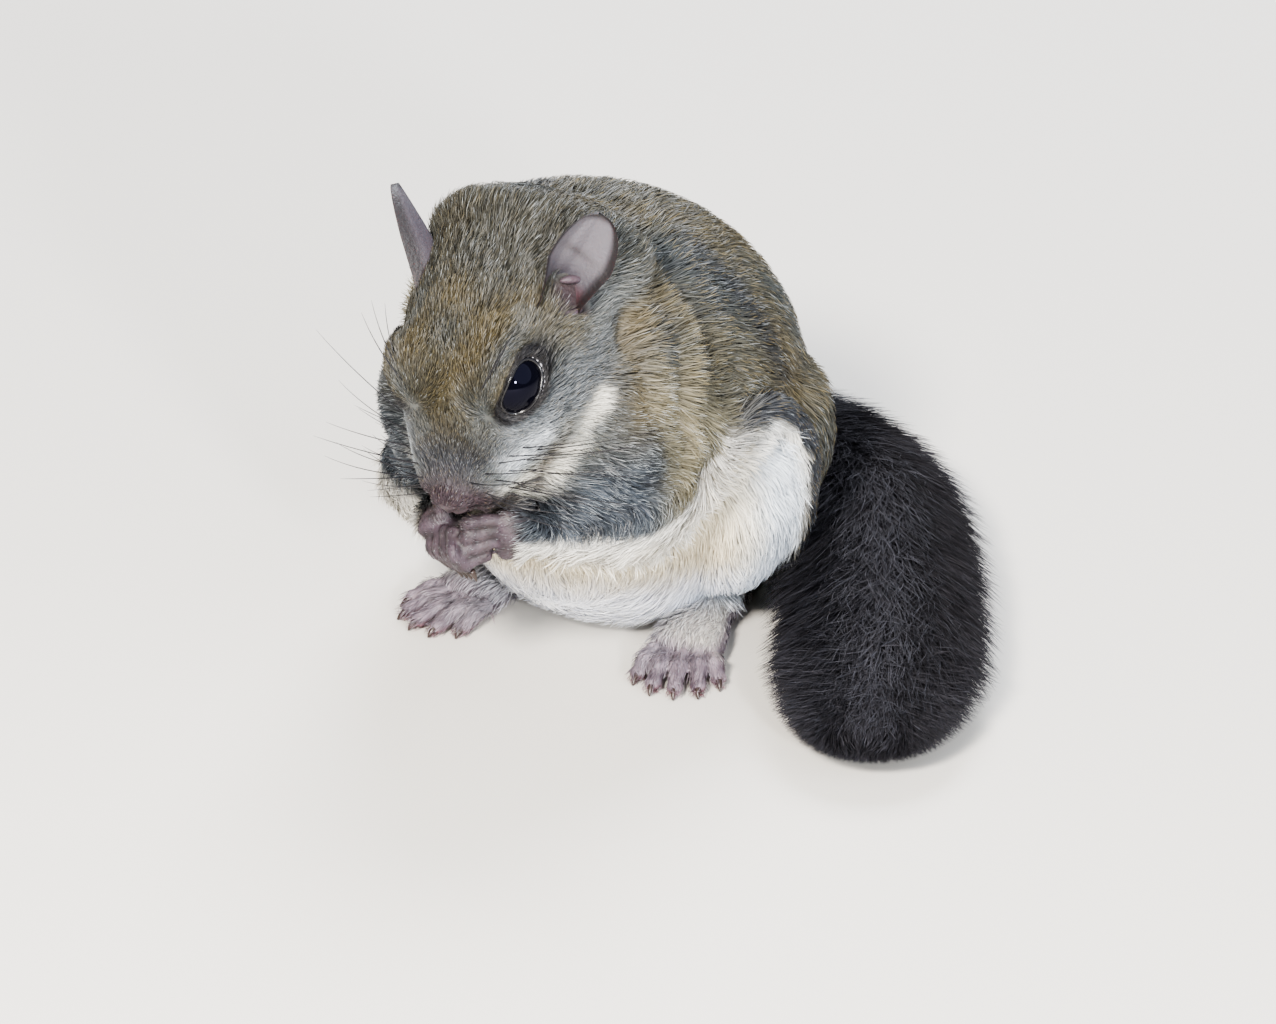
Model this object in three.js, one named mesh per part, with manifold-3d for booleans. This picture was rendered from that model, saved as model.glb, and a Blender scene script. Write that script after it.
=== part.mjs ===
// A northern flying squirrel, life size, sitting hunched on the floor with its
// head bent down and both hands held to its mouth. Millimetres, +Z up. The
// animal faces -Y and its own left is +X. The solids reach to the tips of the
// coat; the origin is on the floor, under the middle of the whole figure.

import * as THREE from "three";
import { LoftGeometry } from "three/addons/geometries/LoftGeometry.js";
import { mergeVertices } from "three/addons/utils/BufferGeometryUtils.js";
import Module from "manifold-3d";

// Driving dimensions

const GAP = 0.3; // between pieces that meet

const HEAD_AT = [-0.4, -22.8, 47.6]; // middle of the head
const HEAD_PITCH = 38.8; // degrees, nose down
const HEAD_YAW = 4.5; // turned to its left
const HEAD_ROLL = 10.6; // left side up

const EYE_RADIUS = 4.9;
const EYE_AT = [7.1, -4.4, 5.2]; // left eye, in the head's frame
const EYE_AXIS = [0.928, -0.37, 0.02]; // the way it looks
const LID_OPENING = 60; // degrees from the eye's axis to the lids' edge
const LID_REACH = 1.9; // the opening clears the ball's surroundings this far out
const ORBIT = { ahead: 5, along: 6.8, up: 6.2 }; // the mound that carries the lids

const EAR_AT = [11.9, 6.8, 7.6]; // root of the left ear, in the head's frame
const EAR_AXIS = [0.396, 0.788, 0.469]; // root to tip
const EAR_FACING = [0.758, -0.57, 0.317]; // the way its cup opens
const EAR_TALL = 13.6;
const EAR_WIDE = 10;
const EAR_THICK = 0.9;

const FINGERS = 4;
const FINGER_PITCH = 1.9;
const FINGER_THICK = 1.9;
const TOES = 5;
const TOE_FAN = 7.5; // degrees between toes
const TOE_PITCH = 2.15; // between toe roots
const TOE_LONG = 8;
const TOE_THICK = 2.5;
const CLAW_LONG = 1.5;

const TAIL_CORE = { thick: 0.5, long: 0.84 }; // shares of the brush
const TAIL_BEND = 0.27; // no locks on the inner side of the bend before this share
const LOCK_ROWS = 8; // along the tail
const LOCK_LONG = 0.2; // share of the tail's length
const LOCK_WIDE = 7.4;
const LOCK_THICK = 1.2;
const LOCK_TAPER = [0.7, 1, 0.85, 0.12]; // shares of the width, root to tip
const BRUSH_END = 0.985; // share of the tail's length that the last tips reach

// Solids

const wasm = await Module();
wasm.setup();

// A closed geometry as a solid that can be joined and cut.
function solidOf(geometry) {
  const bare = new THREE.BufferGeometry();
  bare.setAttribute("position", geometry.getAttribute("position"));
  if (geometry.index) bare.setIndex(geometry.index);
  const merged = mergeVertices(bare, 1e-4);
  return new wasm.Manifold(
    new wasm.Mesh({
      numProp: 3,
      vertProperties: new Float32Array(merged.attributes.position.array),
      triVerts: new Uint32Array(merged.index.array),
    }),
  );
}

function geometryOf(solid) {
  const { vertProperties, triVerts, numProp, numVert } = solid.getMesh();
  const positions = new Float32Array(numVert * 3);
  for (let i = 0; i < numVert; i++) {
    positions.set(vertProperties.subarray(i * numProp, i * numProp + 3), i * 3);
  }
  const geometry = new THREE.BufferGeometry();
  geometry.setAttribute("position", new THREE.BufferAttribute(positions, 3));
  geometry.setIndex(new THREE.BufferAttribute(new Uint32Array(triVerts), 1));
  geometry.computeVertexNormals();
  return geometry;
}

const joined = (solids) => solids.reduce((all, solid) => all.add(solid));
const cut = (solid, others) =>
  others.reduce((left, other) => left.subtract(other), solid);
const onFloor = (solid) => solid.trimByPlane([0, 0, 1], 0);

// The largest closed piece, without any scrap that a cut has left.
function largest(solid) {
  return solid
    .decompose()
    .reduce((best, piece) => (piece.volume() > best.volume() ? piece : best));
}

// Curves and rings

const vec = (p) => new THREE.Vector3(...p);
const radians = THREE.MathUtils.degToRad;
const mirror = ([x, y, z], left) => [left * x, y, z];
const between = (a, b, share) => vec(a).lerp(vec(b), share).toArray();

// Reads a table of stations at a share of the way, each column on a smooth curve.
function read(stations, share) {
  const at = share * (stations.length - 1);
  const first = Math.min(Math.floor(at), stations.length - 2);
  const row = {};
  for (const key of Object.keys(stations[0])) {
    const [a, b, c, d] = [-1, 0, 1, 2].map((step) => {
      const i = THREE.MathUtils.clamp(first + step, 0, stations.length - 1);
      return stations[i][key];
    });
    row[key] = smooth(at - first, a, b, c, d);
  }
  return row;
}

// A cubic from b to c that leaves and arrives along the lines to a and d.
function smooth(t, a, b, c, d) {
  const leave = (c - a) / 2;
  const arrive = (d - b) / 2;
  const cube = 2 * b - 2 * c + leave + arrive;
  const square = 3 * c - 3 * b - 2 * leave - arrive;
  return cube * t ** 3 + square * t ** 2 + leave * t + b;
}

// The half-circle that closes an end, from 0 at the tip to 1 a little way in.
function rounded(share) {
  return share >= 1 ? 1 : Math.sqrt(1 - (1 - share) ** 2);
}

// One point of the skin of a form, at a share of its length and an angle round
// it. ringAt gives each ring's middle, its side and up axes, and how far it
// reaches to the side, up and down. grow makes the form larger all round.
function skinPoint(ringAt, share, angle, { grow = 0, round = [0.1, 0.1] } = {}) {
  const ring = ringAt(share);
  const fade = Math.min(rounded(share / round[0]), rounded((1 - share) / round[1]));
  const along = ring.side.clone().cross(ring.up);
  const reach = Math.sin(angle) > 0 ? ring.above : ring.below;
  return ring.middle
    .clone()
    .addScaledVector(ring.side, Math.cos(angle) * (ring.wide * fade + grow))
    .addScaledVector(ring.up, Math.sin(angle) * (reach * fade + grow))
    .addScaledVector(along, grow * (2 * share - 1) ** 3);
}

// A closed surface through the rings, which stand closer at its rounded ends.
function form(ringAt, { rings = 14, sides = 14, ...options }) {
  const sections = [];
  for (let i = 0; i <= rings; i++) {
    const share = (1 - Math.cos((Math.PI * i) / rings)) / 2;
    const inside = THREE.MathUtils.clamp(share, 0.002, 0.998);
    const section = [];
    for (let j = 0; j < sides; j++) {
      section.push(skinPoint(ringAt, inside, (2 * Math.PI * j) / sides, options));
    }
    sections.push(section);
  }
  return new LoftGeometry(sections, { capStart: true, capEnd: true });
}

// Rings along a smooth curve through joints; side is roughly the way the width runs.
function ringsAlong(joints, side) {
  const curve = new THREE.CatmullRomCurve3(
    joints.map((joint) => vec(joint.at)),
    false,
    "centripetal",
  );
  const sizes = joints.map(({ wide, above = wide, below = above }) => ({
    wide,
    above,
    below,
  }));
  return (share) => {
    const tangent = curve.getTangent(share);
    const across = vec(side).projectOnPlane(tangent).normalize();
    return {
      middle: curve.getPoint(share),
      side: across,
      up: tangent.clone().cross(across),
      ...read(sizes, share),
    };
  };
}

const limb = (joints, side, options = {}) =>
  solidOf(form(ringsAlong(joints, side), { round: [0.22, 0.22], ...options }));

// Random numbers from 0 to 1, the same ones each time.
function seeded(state) {
  return () => {
    state = (state * 1664525 + 1013904223) % 4294967296;
    return state / 4294967296;
  };
}

// Round joints along a path, with a thickness for each.
const strand = (points, thick) =>
  points.map((at, i) => ({ at, wide: thick[i] / 2 }));

// Torso

// Level rings from the floor up: where the front and the back are, how far it
// reaches to the side, and how far it leans to the animal's left.
const TORSO = [
  { z: -1, front: -4, back: 27, wide: 14.5, lean: 0 },
  { z: 3, front: -10.5, back: 31.5, wide: 19, lean: 0 },
  { z: 12, front: -17.5, back: 35.5, wide: 23, lean: 0 },
  { z: 21, front: -21.5, back: 36.8, wide: 25, lean: -0.3 },
  { z: 30, front: -22.5, back: 36.8, wide: 26.4, lean: -0.5 },
  { z: 39, front: -23.5, back: 34.6, wide: 26.2, lean: -1 },
  { z: 47, front: -23, back: 30, wide: 23.8, lean: -1.7 },
  { z: 54, front: -21.5, back: 22.6, wide: 19.8, lean: -2.5 },
  { z: 59, front: -19, back: 13.6, wide: 15, lean: -3.2 },
  { z: 62.8, front: -15, back: 1.5, wide: 9, lean: -3.8 },
];

function torsoRing(share) {
  const { z, front, back, wide, lean } = read(TORSO, share);
  const middle = front + (back - front) * 0.52;
  return {
    middle: vec([lean, middle, z]),
    side: vec([1, 0, 0]),
    up: vec([0, 1, 0]),
    wide,
    above: back - middle,
    below: middle - front,
  };
}

const trunk = (grow) =>
  onFloor(
    solidOf(
      form(torsoRing, { rings: 17, sides: 22, grow, round: [0.02, 0.16] }),
    ),
  );

// Neck: a short thick collar behind the head. Trunk and collar are one shape,
// parted by a slanting plane at the shoulders.

const COLLAR = [
  { at: [-0.6, -17.5, 49.5], wide: 15, above: 13, below: 15 },
  { at: [-1.2, -14, 49.5], wide: 17.6, above: 15, below: 17 },
  { at: [-1.8, -8.5, 46.5], wide: 20.4, above: 16.8, below: 19 },
  { at: [-2, -1, 40], wide: 21, above: 18.5, below: 20 },
];
const SHOULDER_PLANE = { through: [0, -9.5, 52], facing: [0, -0.94, 0.34] };

function parted(grow, forward) {
  const options = { rings: 8, sides: 16, grow, round: [0.3, 0.3] };
  const whole = trunk(grow).add(limb(COLLAR, [1, 0, 0], options));
  const normal = vec(SHOULDER_PLANE.facing).normalize().multiplyScalar(forward);
  const distance = normal.dot(vec(SHOULDER_PLANE.through)) + GAP / 2 - grow;
  return whole.trimByPlane(normal.toArray(), distance);
}
const neck = (grow) => parted(grow, 1);
const torso = (grow) => parted(grow, -1);

// Head, in its own frame: nose to -Y, crown to +Z, its left to +X

const HEAD = [
  { y: 21, z: 1.5, wide: 9, above: 9, below: 8 },
  { y: 16, z: 1.2, wide: 12, above: 11.2, below: 10.5 },
  { y: 10, z: 0.8, wide: 14.4, above: 12.2, below: 12 },
  { y: 4, z: 0.3, wide: 14.9, above: 12.4, below: 12.6 },
  { y: -2, z: -0.3, wide: 14, above: 11.8, below: 12 },
  { y: -8, z: -1.2, wide: 12.2, above: 9.4, below: 10.2 },
  { y: -13, z: -2, wide: 9.8, above: 6.8, below: 8 },
  { y: -17, z: -2.7, wide: 7.5, above: 4.8, below: 6 },
  { y: -20.4, z: -3, wide: 4.8, above: 3.1, below: 3.6 },
];
const HEAD_ROUND = { round: [0.22, 0.07] };

function headRing(share) {
  const { y, z, wide, above, below } = read(HEAD, share);
  return {
    middle: vec([0, y, z]),
    side: vec([1, 0, 0]),
    up: vec([0, 0, 1]),
    wide,
    above,
    below,
  };
}

const headFrame = new THREE.Matrix4().compose(
  vec(HEAD_AT),
  new THREE.Quaternion().setFromEuler(
    new THREE.Euler(
      radians(HEAD_PITCH),
      radians(-HEAD_ROLL),
      radians(HEAD_YAW),
      "ZXY",
    ),
  ),
  vec([1, 1, 1]),
);
const inHead = (geometry) => solidOf(geometry.applyMatrix4(headFrame));

const skull = (grow) =>
  inHead(form(headRing, { rings: 17, sides: 18, grow, ...HEAD_ROUND }));

// Turns a geometry's +Z to an axis, and its +Y as near as may be to an upright.
function aim(geometry, axis, upright, at) {
  const z = vec(axis).normalize();
  const y = vec(upright).projectOnPlane(z).normalize();
  const x = y.clone().cross(z);
  const turn = new THREE.Matrix4().makeBasis(x, y, z);
  return geometry.applyMatrix4(turn).translate(...at);
}

function eye(left, grow) {
  const ball = new THREE.SphereGeometry(EYE_RADIUS + grow, 14, 9);
  return inHead(ball.translate(...mirror(EYE_AT, left)));
}

const atEye = (geometry, left) =>
  inHead(aim(geometry, mirror(EYE_AXIS, left), [0, 0, 1], mirror(EYE_AT, left)));

// The lids: a low mound round the ball, opened in front.
function orbit(left, grow) {
  const { along, up, ahead } = ORBIT;
  const mound = new THREE.SphereGeometry(1, 14, 8);
  return atEye(mound.scale(along + grow, up + grow, ahead + grow), left);
}

// The opening between the lids: a cone from the middle of the ball outwards.
function lidOpening(left) {
  const tall = EYE_RADIUS * 2;
  const wide = tall * Math.tan(radians(LID_OPENING));
  const cone = new THREE.ConeGeometry(wide, tall, 16);
  const open = atEye(cone.rotateX(-Math.PI / 2).translate(0, 0, tall / 2), left);
  return open.intersect(eye(left, LID_REACH));
}

// Mouth: the line between the lips, read off the side of the muzzle from the
// front to the corner, with a lip on each side of it

const MOUTH = [
  { share: 0.955, angle: -90, lip: 1.8, cut: 1.5 },
  { share: 0.945, angle: -62, lip: 2, cut: 1.7 },
  { share: 0.9, angle: -48, lip: 2, cut: 1.7 },
  { share: 0.83, angle: -42, lip: 1.8, cut: 1.6 },
  { share: 0.76, angle: -38, lip: 1.2, cut: 1.4 },
];
const MOUTH_OPEN = 0.56;

function mouthLine(left, lift) {
  return MOUTH.map(({ share, angle }) => {
    const turned = radians(left > 0 ? angle : 180 - angle);
    const options = { grow: lift, ...HEAD_ROUND };
    return skinPoint(headRing, share, turned, options).toArray();
  });
}

function lip(left, grow) {
  const thick = MOUTH.map((station) => station.lip);
  const rings = ringsAlong(strand(mouthLine(left, -0.2), thick), [0, 1, 0.3]);
  return inHead(form(rings, { rings: 9, sides: 7, grow, round: [0.1, 0.2] }));
}

function mouthCut(left) {
  const joints = mouthLine(left, 0.9).map((at, i) => ({
    at,
    wide: MOUTH[i].cut,
    above: MOUTH_OPEN / 2,
  }));
  const rings = ringsAlong(joints, [0.9 * left, -0.1, -0.5]);
  return inHead(form(rings, { rings: 9, sides: 5, round: [0.03, 0.1] }));
}

// Nose: a soft pad with two nostrils that curl out to the side

const NOSE = { at: [0.2, -19.4, -2.5], wide: 3.2, deep: 2, tall: 2.5 };

function nose(grow) {
  const pad = new THREE.SphereGeometry(1, 10, 7);
  pad.scale(NOSE.wide + grow, NOSE.deep + grow, NOSE.tall + grow);
  return inHead(pad.translate(...NOSE.at));
}

function nostril(left) {
  const path = [
    [0.9, -2.3, -0.3],
    [1.5, -1.6, -0.1],
    [2.4, -1.2, 0.35],
    [3.3, -0.6, 0.2],
  ].map((off) => vec(mirror(off, left)).add(vec(NOSE.at)).toArray());
  const rings = ringsAlong(strand(path, [0.9, 1.3, 1.1, 0.7]), [0, 0, 1]);
  return inHead(form(rings, { rings: 5, sides: 5 }));
}

function head(grow) {
  const flesh = [skull(grow), nose(grow)];
  const openings = [];
  for (const left of [1, -1]) {
    flesh.push(orbit(left, grow), lip(left, grow));
    openings.push(eye(left, GAP), lidOpening(left), nostril(left), mouthCut(left));
  }
  return grow ? joined(flesh) : cut(joined(flesh), openings);
}

// Ears: thin cups, rolled to a funnel at the root and open towards the tip

const EAR_WIDEST = 0.42; // share of the height

function ear(left, grow) {
  const rings = 7;
  const steps = 6;
  const sections = [];
  for (let i = 0; i <= rings; i++) {
    const share = i / rings;
    const above = Math.max(share - EAR_WIDEST, 0) / (1 - EAR_WIDEST);
    const below = Math.max(EAR_WIDEST - share, 0) / EAR_WIDEST;
    const oval = Math.sqrt(1 - (0.985 * above) ** 2) * (1 - 0.38 * below);
    const half = (EAR_WIDE / 2) * oval + grow;
    const cup = 3.4 * (1 - share) ** 1.3 + 0.7;
    const face = (offset, inset) => {
      const points = [];
      for (let j = 0; j <= steps; j++) {
        const across = (2 * j) / steps - 1;
        const aside = across * Math.max(half - inset, 0.3);
        const deep = offset - cup * (1 - across ** 2);
        points.push(vec([aside, deep, share * (EAR_TALL + grow)]));
      }
      return points;
    };
    const back = face(-EAR_THICK - grow, 0);
    sections.push([...back, ...face(grow, 0.25).reverse()]);
  }
  const cupped = new LoftGeometry(sections, { capStart: true, capEnd: true });
  const facing = mirror(EAR_FACING, left);
  return inHead(aim(cupped, mirror(EAR_AXIS, left), facing, mirror(EAR_AT, left)));
}

// Arms

const SHOULDER = { left: [14.5, -11.5, 42], right: [-15.5, -12.5, 40] };
const ELBOW = { left: [19.8, -7, 30], right: [-18, -12, 26] };
const WRIST = { left: [9.6, -28, 27.4], right: [-5.8, -28.4, 26.8] };

function upperArm(which, grow) {
  const joints = [
    { at: SHOULDER[which], wide: 8, above: 7.4 },
    { at: between(SHOULDER[which], ELBOW[which], 0.5), wide: 9, above: 7.8 },
    { at: ELBOW[which], wide: 8, above: 7 },
  ];
  const options = { rings: 9, sides: 12, grow, round: [0.35, 0.4] };
  return limb(joints, [0, 0.3, 1], options);
}

function forearm(which, grow) {
  const outward = [Math.sign(ELBOW[which][0]) * 1.6, -1, -0.8];
  const middle = vec(between(ELBOW[which], WRIST[which], 0.45)).add(vec(outward));
  const joints = [
    { at: ELBOW[which], wide: 7.6, above: 6.4 },
    { at: middle.toArray(), wide: 7.2, above: 5.6 },
    { at: WRIST[which], wide: 2.9, above: 2.4 },
  ];
  const options = { rings: 8, sides: 12, grow, round: [0.3, 0.08] };
  return limb(joints, [0, 0.2, 1], options);
}

// Hands: a palm and four fingers that close on one another under the mouth

const HANDS = {
  left: {
    knuckles: [5.6, -32.6, 27.6],
    bend: [3, -35.6, 27],
    tips: [1, -34.2, 25.2],
    spread: [0.12, 0.15, 1],
  },
  right: {
    knuckles: [-2.2, -33.2, 27.4],
    bend: [-0.6, -35.8, 25],
    tips: [1.6, -34.6, 22.4],
    spread: [0.85, -0.45, 0.3],
  },
};

function claw(tip, from, grow) {
  const way = vec(tip).sub(vec(from)).normalize();
  const root = vec(tip).addScaledVector(way, -0.8);
  const point = vec(tip).addScaledVector(way, CLAW_LONG);
  point.z -= 0.5;
  const path = [root.toArray(), tip, point.toArray()];
  const options = { rings: 2, sides: 4, grow, round: [0.1, 0.1] };
  return limb(strand(path, [1.3, 1, 0.4]), [1, 0.3, 0.2], options);
}

// A finger or toe through three points, with its claw.
function digit(path, thick, side, grow) {
  const taper = [1.05, 1, 0.82].map((share) => share * thick);
  const options = { rings: 4, sides: 6, grow, round: [0.1, 0.2] };
  return limb(strand(path, taper), side, options).add(claw(path[2], path[1], grow));
}

function hand(which, grow) {
  const { knuckles, bend, tips, spread } = HANDS[which];
  const wrist = WRIST[which];
  const joints = [
    { at: wrist, wide: 2.4, above: 1.9 },
    { at: between(wrist, knuckles, 0.6), wide: 3.5, above: 2.1 },
    { at: knuckles, wide: 3.9, above: 1.9 },
  ];
  const options = { rings: 5, sides: 9, grow, round: [0.1, 0.3] };
  const pieces = [limb(joints, spread, options)];
  const across = vec(spread).normalize();
  for (let i = 0; i < FINGERS; i++) {
    const aside = (i - (FINGERS - 1) / 2) * FINGER_PITCH;
    const beside = (point, share) =>
      vec(point).addScaledVector(across, aside * share).toArray();
    const path = [beside(knuckles, 0.9), beside(bend, 1.1), beside(tips, 0.8)];
    pieces.push(digit(path, FINGER_THICK, spread, grow));
  }
  return joined(pieces);
}

// Legs: the thigh lies along the flank, the shank folds down under the knee

const HIP = [13, 24, 20];
const KNEE = [20.3, 4.8, 28.5];
const ANKLE = [16.5, 9.5, 5.5];

function thigh(left, grow) {
  const joints = [
    { at: mirror(HIP, left), wide: 13, above: 12 },
    { at: mirror([16.6, 15.5, 24.5], left), wide: 14.5, above: 11.6 },
    { at: mirror(KNEE, left), wide: 9, above: 8 },
  ];
  const options = { rings: 12, sides: 16, grow, round: [0.35, 0.4] };
  return onFloor(limb(joints, [0, 0.2, 1], options));
}

function shank(left, grow) {
  const joints = [
    { at: mirror(KNEE, left), wide: 8.6, above: 8 },
    { at: mirror([20, 5.6, 17], left), wide: 10.4, above: 8.4 },
    { at: mirror(ANKLE, left), wide: 7, above: 6 },
  ];
  const options = { rings: 10, sides: 14, grow, round: [0.35, 0.3] };
  return onFloor(limb(joints, [0, 1, 0], options));
}

// Hind feet: a long sole and five toes that fan out, flat on the floor

const FEET = {
  left: { heel: [14.5, 13, 2.3], ball: [19.4, -7.6, 2.1], heading: 24 },
  right: { heel: [-13.5, 13, 2.3], ball: [-14.6, -9.6, 2.1], heading: -18 },
};

function foot(which, grow) {
  const { heel, ball, heading } = FEET[which];
  const towards = (degrees) =>
    vec([Math.sin(radians(degrees)), -Math.cos(radians(degrees)), 0]);
  const joints = [
    { at: heel, wide: 3.2, above: 2.6 },
    { at: between(heel, ball, 0.5), wide: 3.8, above: 2.8, below: 2.6 },
    { at: ball, wide: 5.4, above: 2.3, below: 2.4 },
  ];
  const options = { rings: 6, sides: 9, grow, round: [0.12, 0.16] };
  const pieces = [limb(joints, [1, 0, 0], options)];
  const aside = towards(heading + 90);
  for (let i = 0; i < TOES; i++) {
    const place = i - (TOES - 1) / 2;
    const long = TOE_LONG * (Math.abs(place) === 2 ? 0.78 : 1);
    const way = towards(heading + place * TOE_FAN);
    const root = vec(ball)
      .addScaledVector(aside, place * TOE_PITCH)
      .addScaledVector(way, -Math.abs(place) * 0.7);
    const point = (share, z) =>
      root.clone().addScaledVector(way, share * long).setZ(z).toArray();
    const path = [point(0, 2), point(0.5, 1.9), point(1, 0.9)];
    pieces.push(digit(path, TOE_THICK, aside.toArray(), grow));
  }
  return onFloor(joined(pieces));
}

// Flying skin: a soft fold from the wrist under the elbow, over the knee and
// down behind it to the ankle

const FOLD = [
  { at: [9.8, -26, 24.6], wide: 1.6, above: 1.3 },
  { at: [17.4, -17, 22.4], wide: 2.6, above: 1.6 },
  { at: [22, -8, 27.4], wide: 3, above: 1.7 },
  { at: [23.6, -0.5, 33], wide: 3, above: 1.7 },
  { at: [25, 5.5, 34.6], wide: 2.8, above: 1.7 },
  { at: [26.8, 9.8, 31], wide: 2.6, above: 1.7 },
  { at: [27.2, 11.8, 23], wide: 2.6, above: 1.6 },
  { at: [25.4, 11.5, 13], wide: 2.4, above: 1.6 },
  { at: [21.5, 11.5, 6], wide: 1.8, above: 1.4 },
];

function flyingSkin(left, grow) {
  const joints = FOLD.map((joint) => ({ ...joint, at: mirror(joint.at, left) }));
  const options = { rings: 18, sides: 6, grow, round: [0.06, 0.06] };
  return limb(joints, [0, 0.4, 1], options);
}

// Tail: a flat brush laid round the left side

const TAIL = [
  { at: [-5, 30, 9.5], wide: 6, above: 6.5, below: 6.5 },
  { at: [1, 39, 8.8], wide: 8, above: 7.4, below: 8 },
  { at: [11, 42.5, 7.8], wide: 10.5, above: 8, below: 8 },
  { at: [23.5, 34.5, 7.2], wide: 13, above: 8, below: 7.6 },
  { at: [37, 15, 7], wide: 14.8, above: 7.6, below: 7.4 },
  { at: [48, -4, 6.4], wide: 14.8, above: 7, below: 6.8 },
  { at: [56.8, -23.2, 5.4], wide: 13.5, above: 5.4, below: 5.8 },
];

const TAIL_ROUND = { round: [0.06, 0.2] };
const tailRing = ringsAlong(TAIL, [1, 0.6, 0]);

// A point of the brush: reach is 0 on the tail's axis and 1 at the tips.
function brushPoint(share, angle, reach) {
  const along = Math.min(share, BRUSH_END);
  const skin = skinPoint(tailRing, along, angle, TAIL_ROUND);
  return tailRing(along).middle.lerp(skin, reach);
}

// Locks of one row and one side: where each leaves the core and where its tip
// lies, in degrees round the tail from the edge on its side, and how far along
// the row it stands. The underside, which lies on the floor, has fewer.
const LOCKS = [
  { leaves: 86, tip: 70, after: 0.1 },
  { leaves: 46, tip: 24, after: 0.35 },
  { leaves: 8, tip: -4, after: 0.8 },
  { leaves: -66, tip: -52, after: 0.5, everyOther: true },
];

// A flat lock that lies in the plane of the tail: out of the core, then back and
// towards the edge of the brush.
function lock(share, long, leaves, tip, grow) {
  const at = [0, 0.35, 0.72, 1].map((t) => {
    const angle = radians(leaves + (tip - leaves) * t);
    return brushPoint(share + long * t, angle, 0.3 + 0.7 * t ** 0.6);
  });
  const path = at[3].clone().sub(at[0]);
  const side = path.cross(tailRing(Math.min(share + long, BRUSH_END)).up).toArray();
  const joints = at.map((point, i) => ({
    at: point.toArray(),
    wide: (LOCK_WIDE / 2) * LOCK_TAPER[i],
    above: Math.max((LOCK_THICK / 2) * LOCK_TAPER[i], 0.2),
  }));
  return limb(joints, side, { rings: 3, sides: 4, grow, round: [0.02, 0.02] });
}

function tail(grow) {
  const random = seeded(11);
  const coreRing = (share) => {
    const { wide, above, below, ...ring } = tailRing(share * TAIL_CORE.long);
    const { thick } = TAIL_CORE;
    return { ...ring, wide: wide * thick, above: above * thick, below: below * thick };
  };
  const core = form(coreRing, { rings: 10, sides: 10, grow, round: [0.06, 0.15] });
  const last = lock(TAIL_CORE.long, LOCK_LONG, 90, 90, grow);
  const pieces = [solidOf(core), last];
  for (let row = 0; row < LOCK_ROWS; row++) {
    for (const toLeft of [true, false]) {
      for (const { leaves, tip, after, everyOther } of LOCKS) {
        const share = 0.1 + (0.77 * (row + after + 0.3 * random())) / LOCK_ROWS;
        if (everyOther && row % 2 === 1) continue;
        if (!toLeft && share < TAIL_BEND) continue;
        const turn = (angle) => (toLeft ? angle : 180 - angle) + 10 * (random() - 0.5);
        const long = LOCK_LONG * (0.55 + 0.45 * share + 0.15 * random());
        pieces.push(lock(share, long, turn(leaves), turn(tip), grow));
      }
    }
  }
  return onFloor(joined(pieces));
}

// Assembly: each form gives way to those before it

const COLOURS = {
  fur: 0x7d7462,
  face: 0x8a7a5c,
  white: 0xd8d4c8,
  arm: 0x4c535c,
  skin: 0xa98f97,
  black: 0x0a0a12,
  tail: 0x2a2a30,
};

const forms = [
  { name: "eye_left", make: (grow) => eye(1, grow), colour: "black" },
  { name: "eye_right", make: (grow) => eye(-1, grow), colour: "black" },
  { name: "head", make: head, colour: "face" },
  { name: "ear_left", make: (grow) => ear(1, grow), colour: "skin" },
  { name: "ear_right", make: (grow) => ear(-1, grow), colour: "skin" },
  { name: "hand_left", make: (grow) => hand("left", grow), colour: "skin" },
  { name: "hand_right", make: (grow) => hand("right", grow), colour: "skin" },
  { name: "foot_left", make: (grow) => foot("left", grow), colour: "skin" },
  { name: "foot_right", make: (grow) => foot("right", grow), colour: "skin" },
  { name: "flying_skin_left", make: (grow) => flyingSkin(1, grow), colour: "white" },
  { name: "flying_skin_right", make: (grow) => flyingSkin(-1, grow), colour: "white" },
  { name: "forearm_left", make: (grow) => forearm("left", grow), colour: "arm" },
  { name: "forearm_right", make: (grow) => forearm("right", grow), colour: "arm" },
  { name: "neck", make: neck, colour: "fur" },
  { name: "torso", make: torso, colour: "fur" },
  { name: "upper_arm_left", make: (grow) => upperArm("left", grow), colour: "arm" },
  { name: "upper_arm_right", make: (grow) => upperArm("right", grow), colour: "arm" },
  { name: "shank_left", make: (grow) => shank(1, grow), colour: "white" },
  { name: "shank_right", make: (grow) => shank(-1, grow), colour: "white" },
  { name: "thigh_left", make: (grow) => thigh(1, grow), colour: "fur" },
  { name: "thigh_right", make: (grow) => thigh(-1, grow), colour: "fur" },
  { name: "tail", make: tail, colour: "tail" },
];

const figure = new THREE.Group();
const keptClear = [];
for (const { name, make, colour } of forms) {
  const solid = largest(cut(make(0), keptClear));
  keptClear.push(make(GAP));
  const mesh = new THREE.Mesh(
    geometryOf(solid),
    new THREE.MeshStandardMaterial({ color: COLOURS[colour], roughness: 0.9 }),
  );
  mesh.name = name;
  figure.add(mesh);
}

const box = new THREE.Box3().setFromObject(figure);
const middle = box.getCenter(new THREE.Vector3());
for (const { geometry } of figure.children) {
  geometry.translate(-middle.x, -middle.y, -box.min.z);
}

export default figure;
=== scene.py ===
"""A northern flying squirrel, life size, that sits hunched on the floor with its head
bent down and both hands held to its mouth.

Shapes are worked out in millimetres in the figure's own frame (the animal faces -Y,
its left is +X, up is +Z, floor at 0), and the function packed puts their points into
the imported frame. One skin replaces the solids of flesh and lies under them by the depth of
the coat. Tufts of hair root in it and their tips reach out to the solids' outline.
"""

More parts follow.
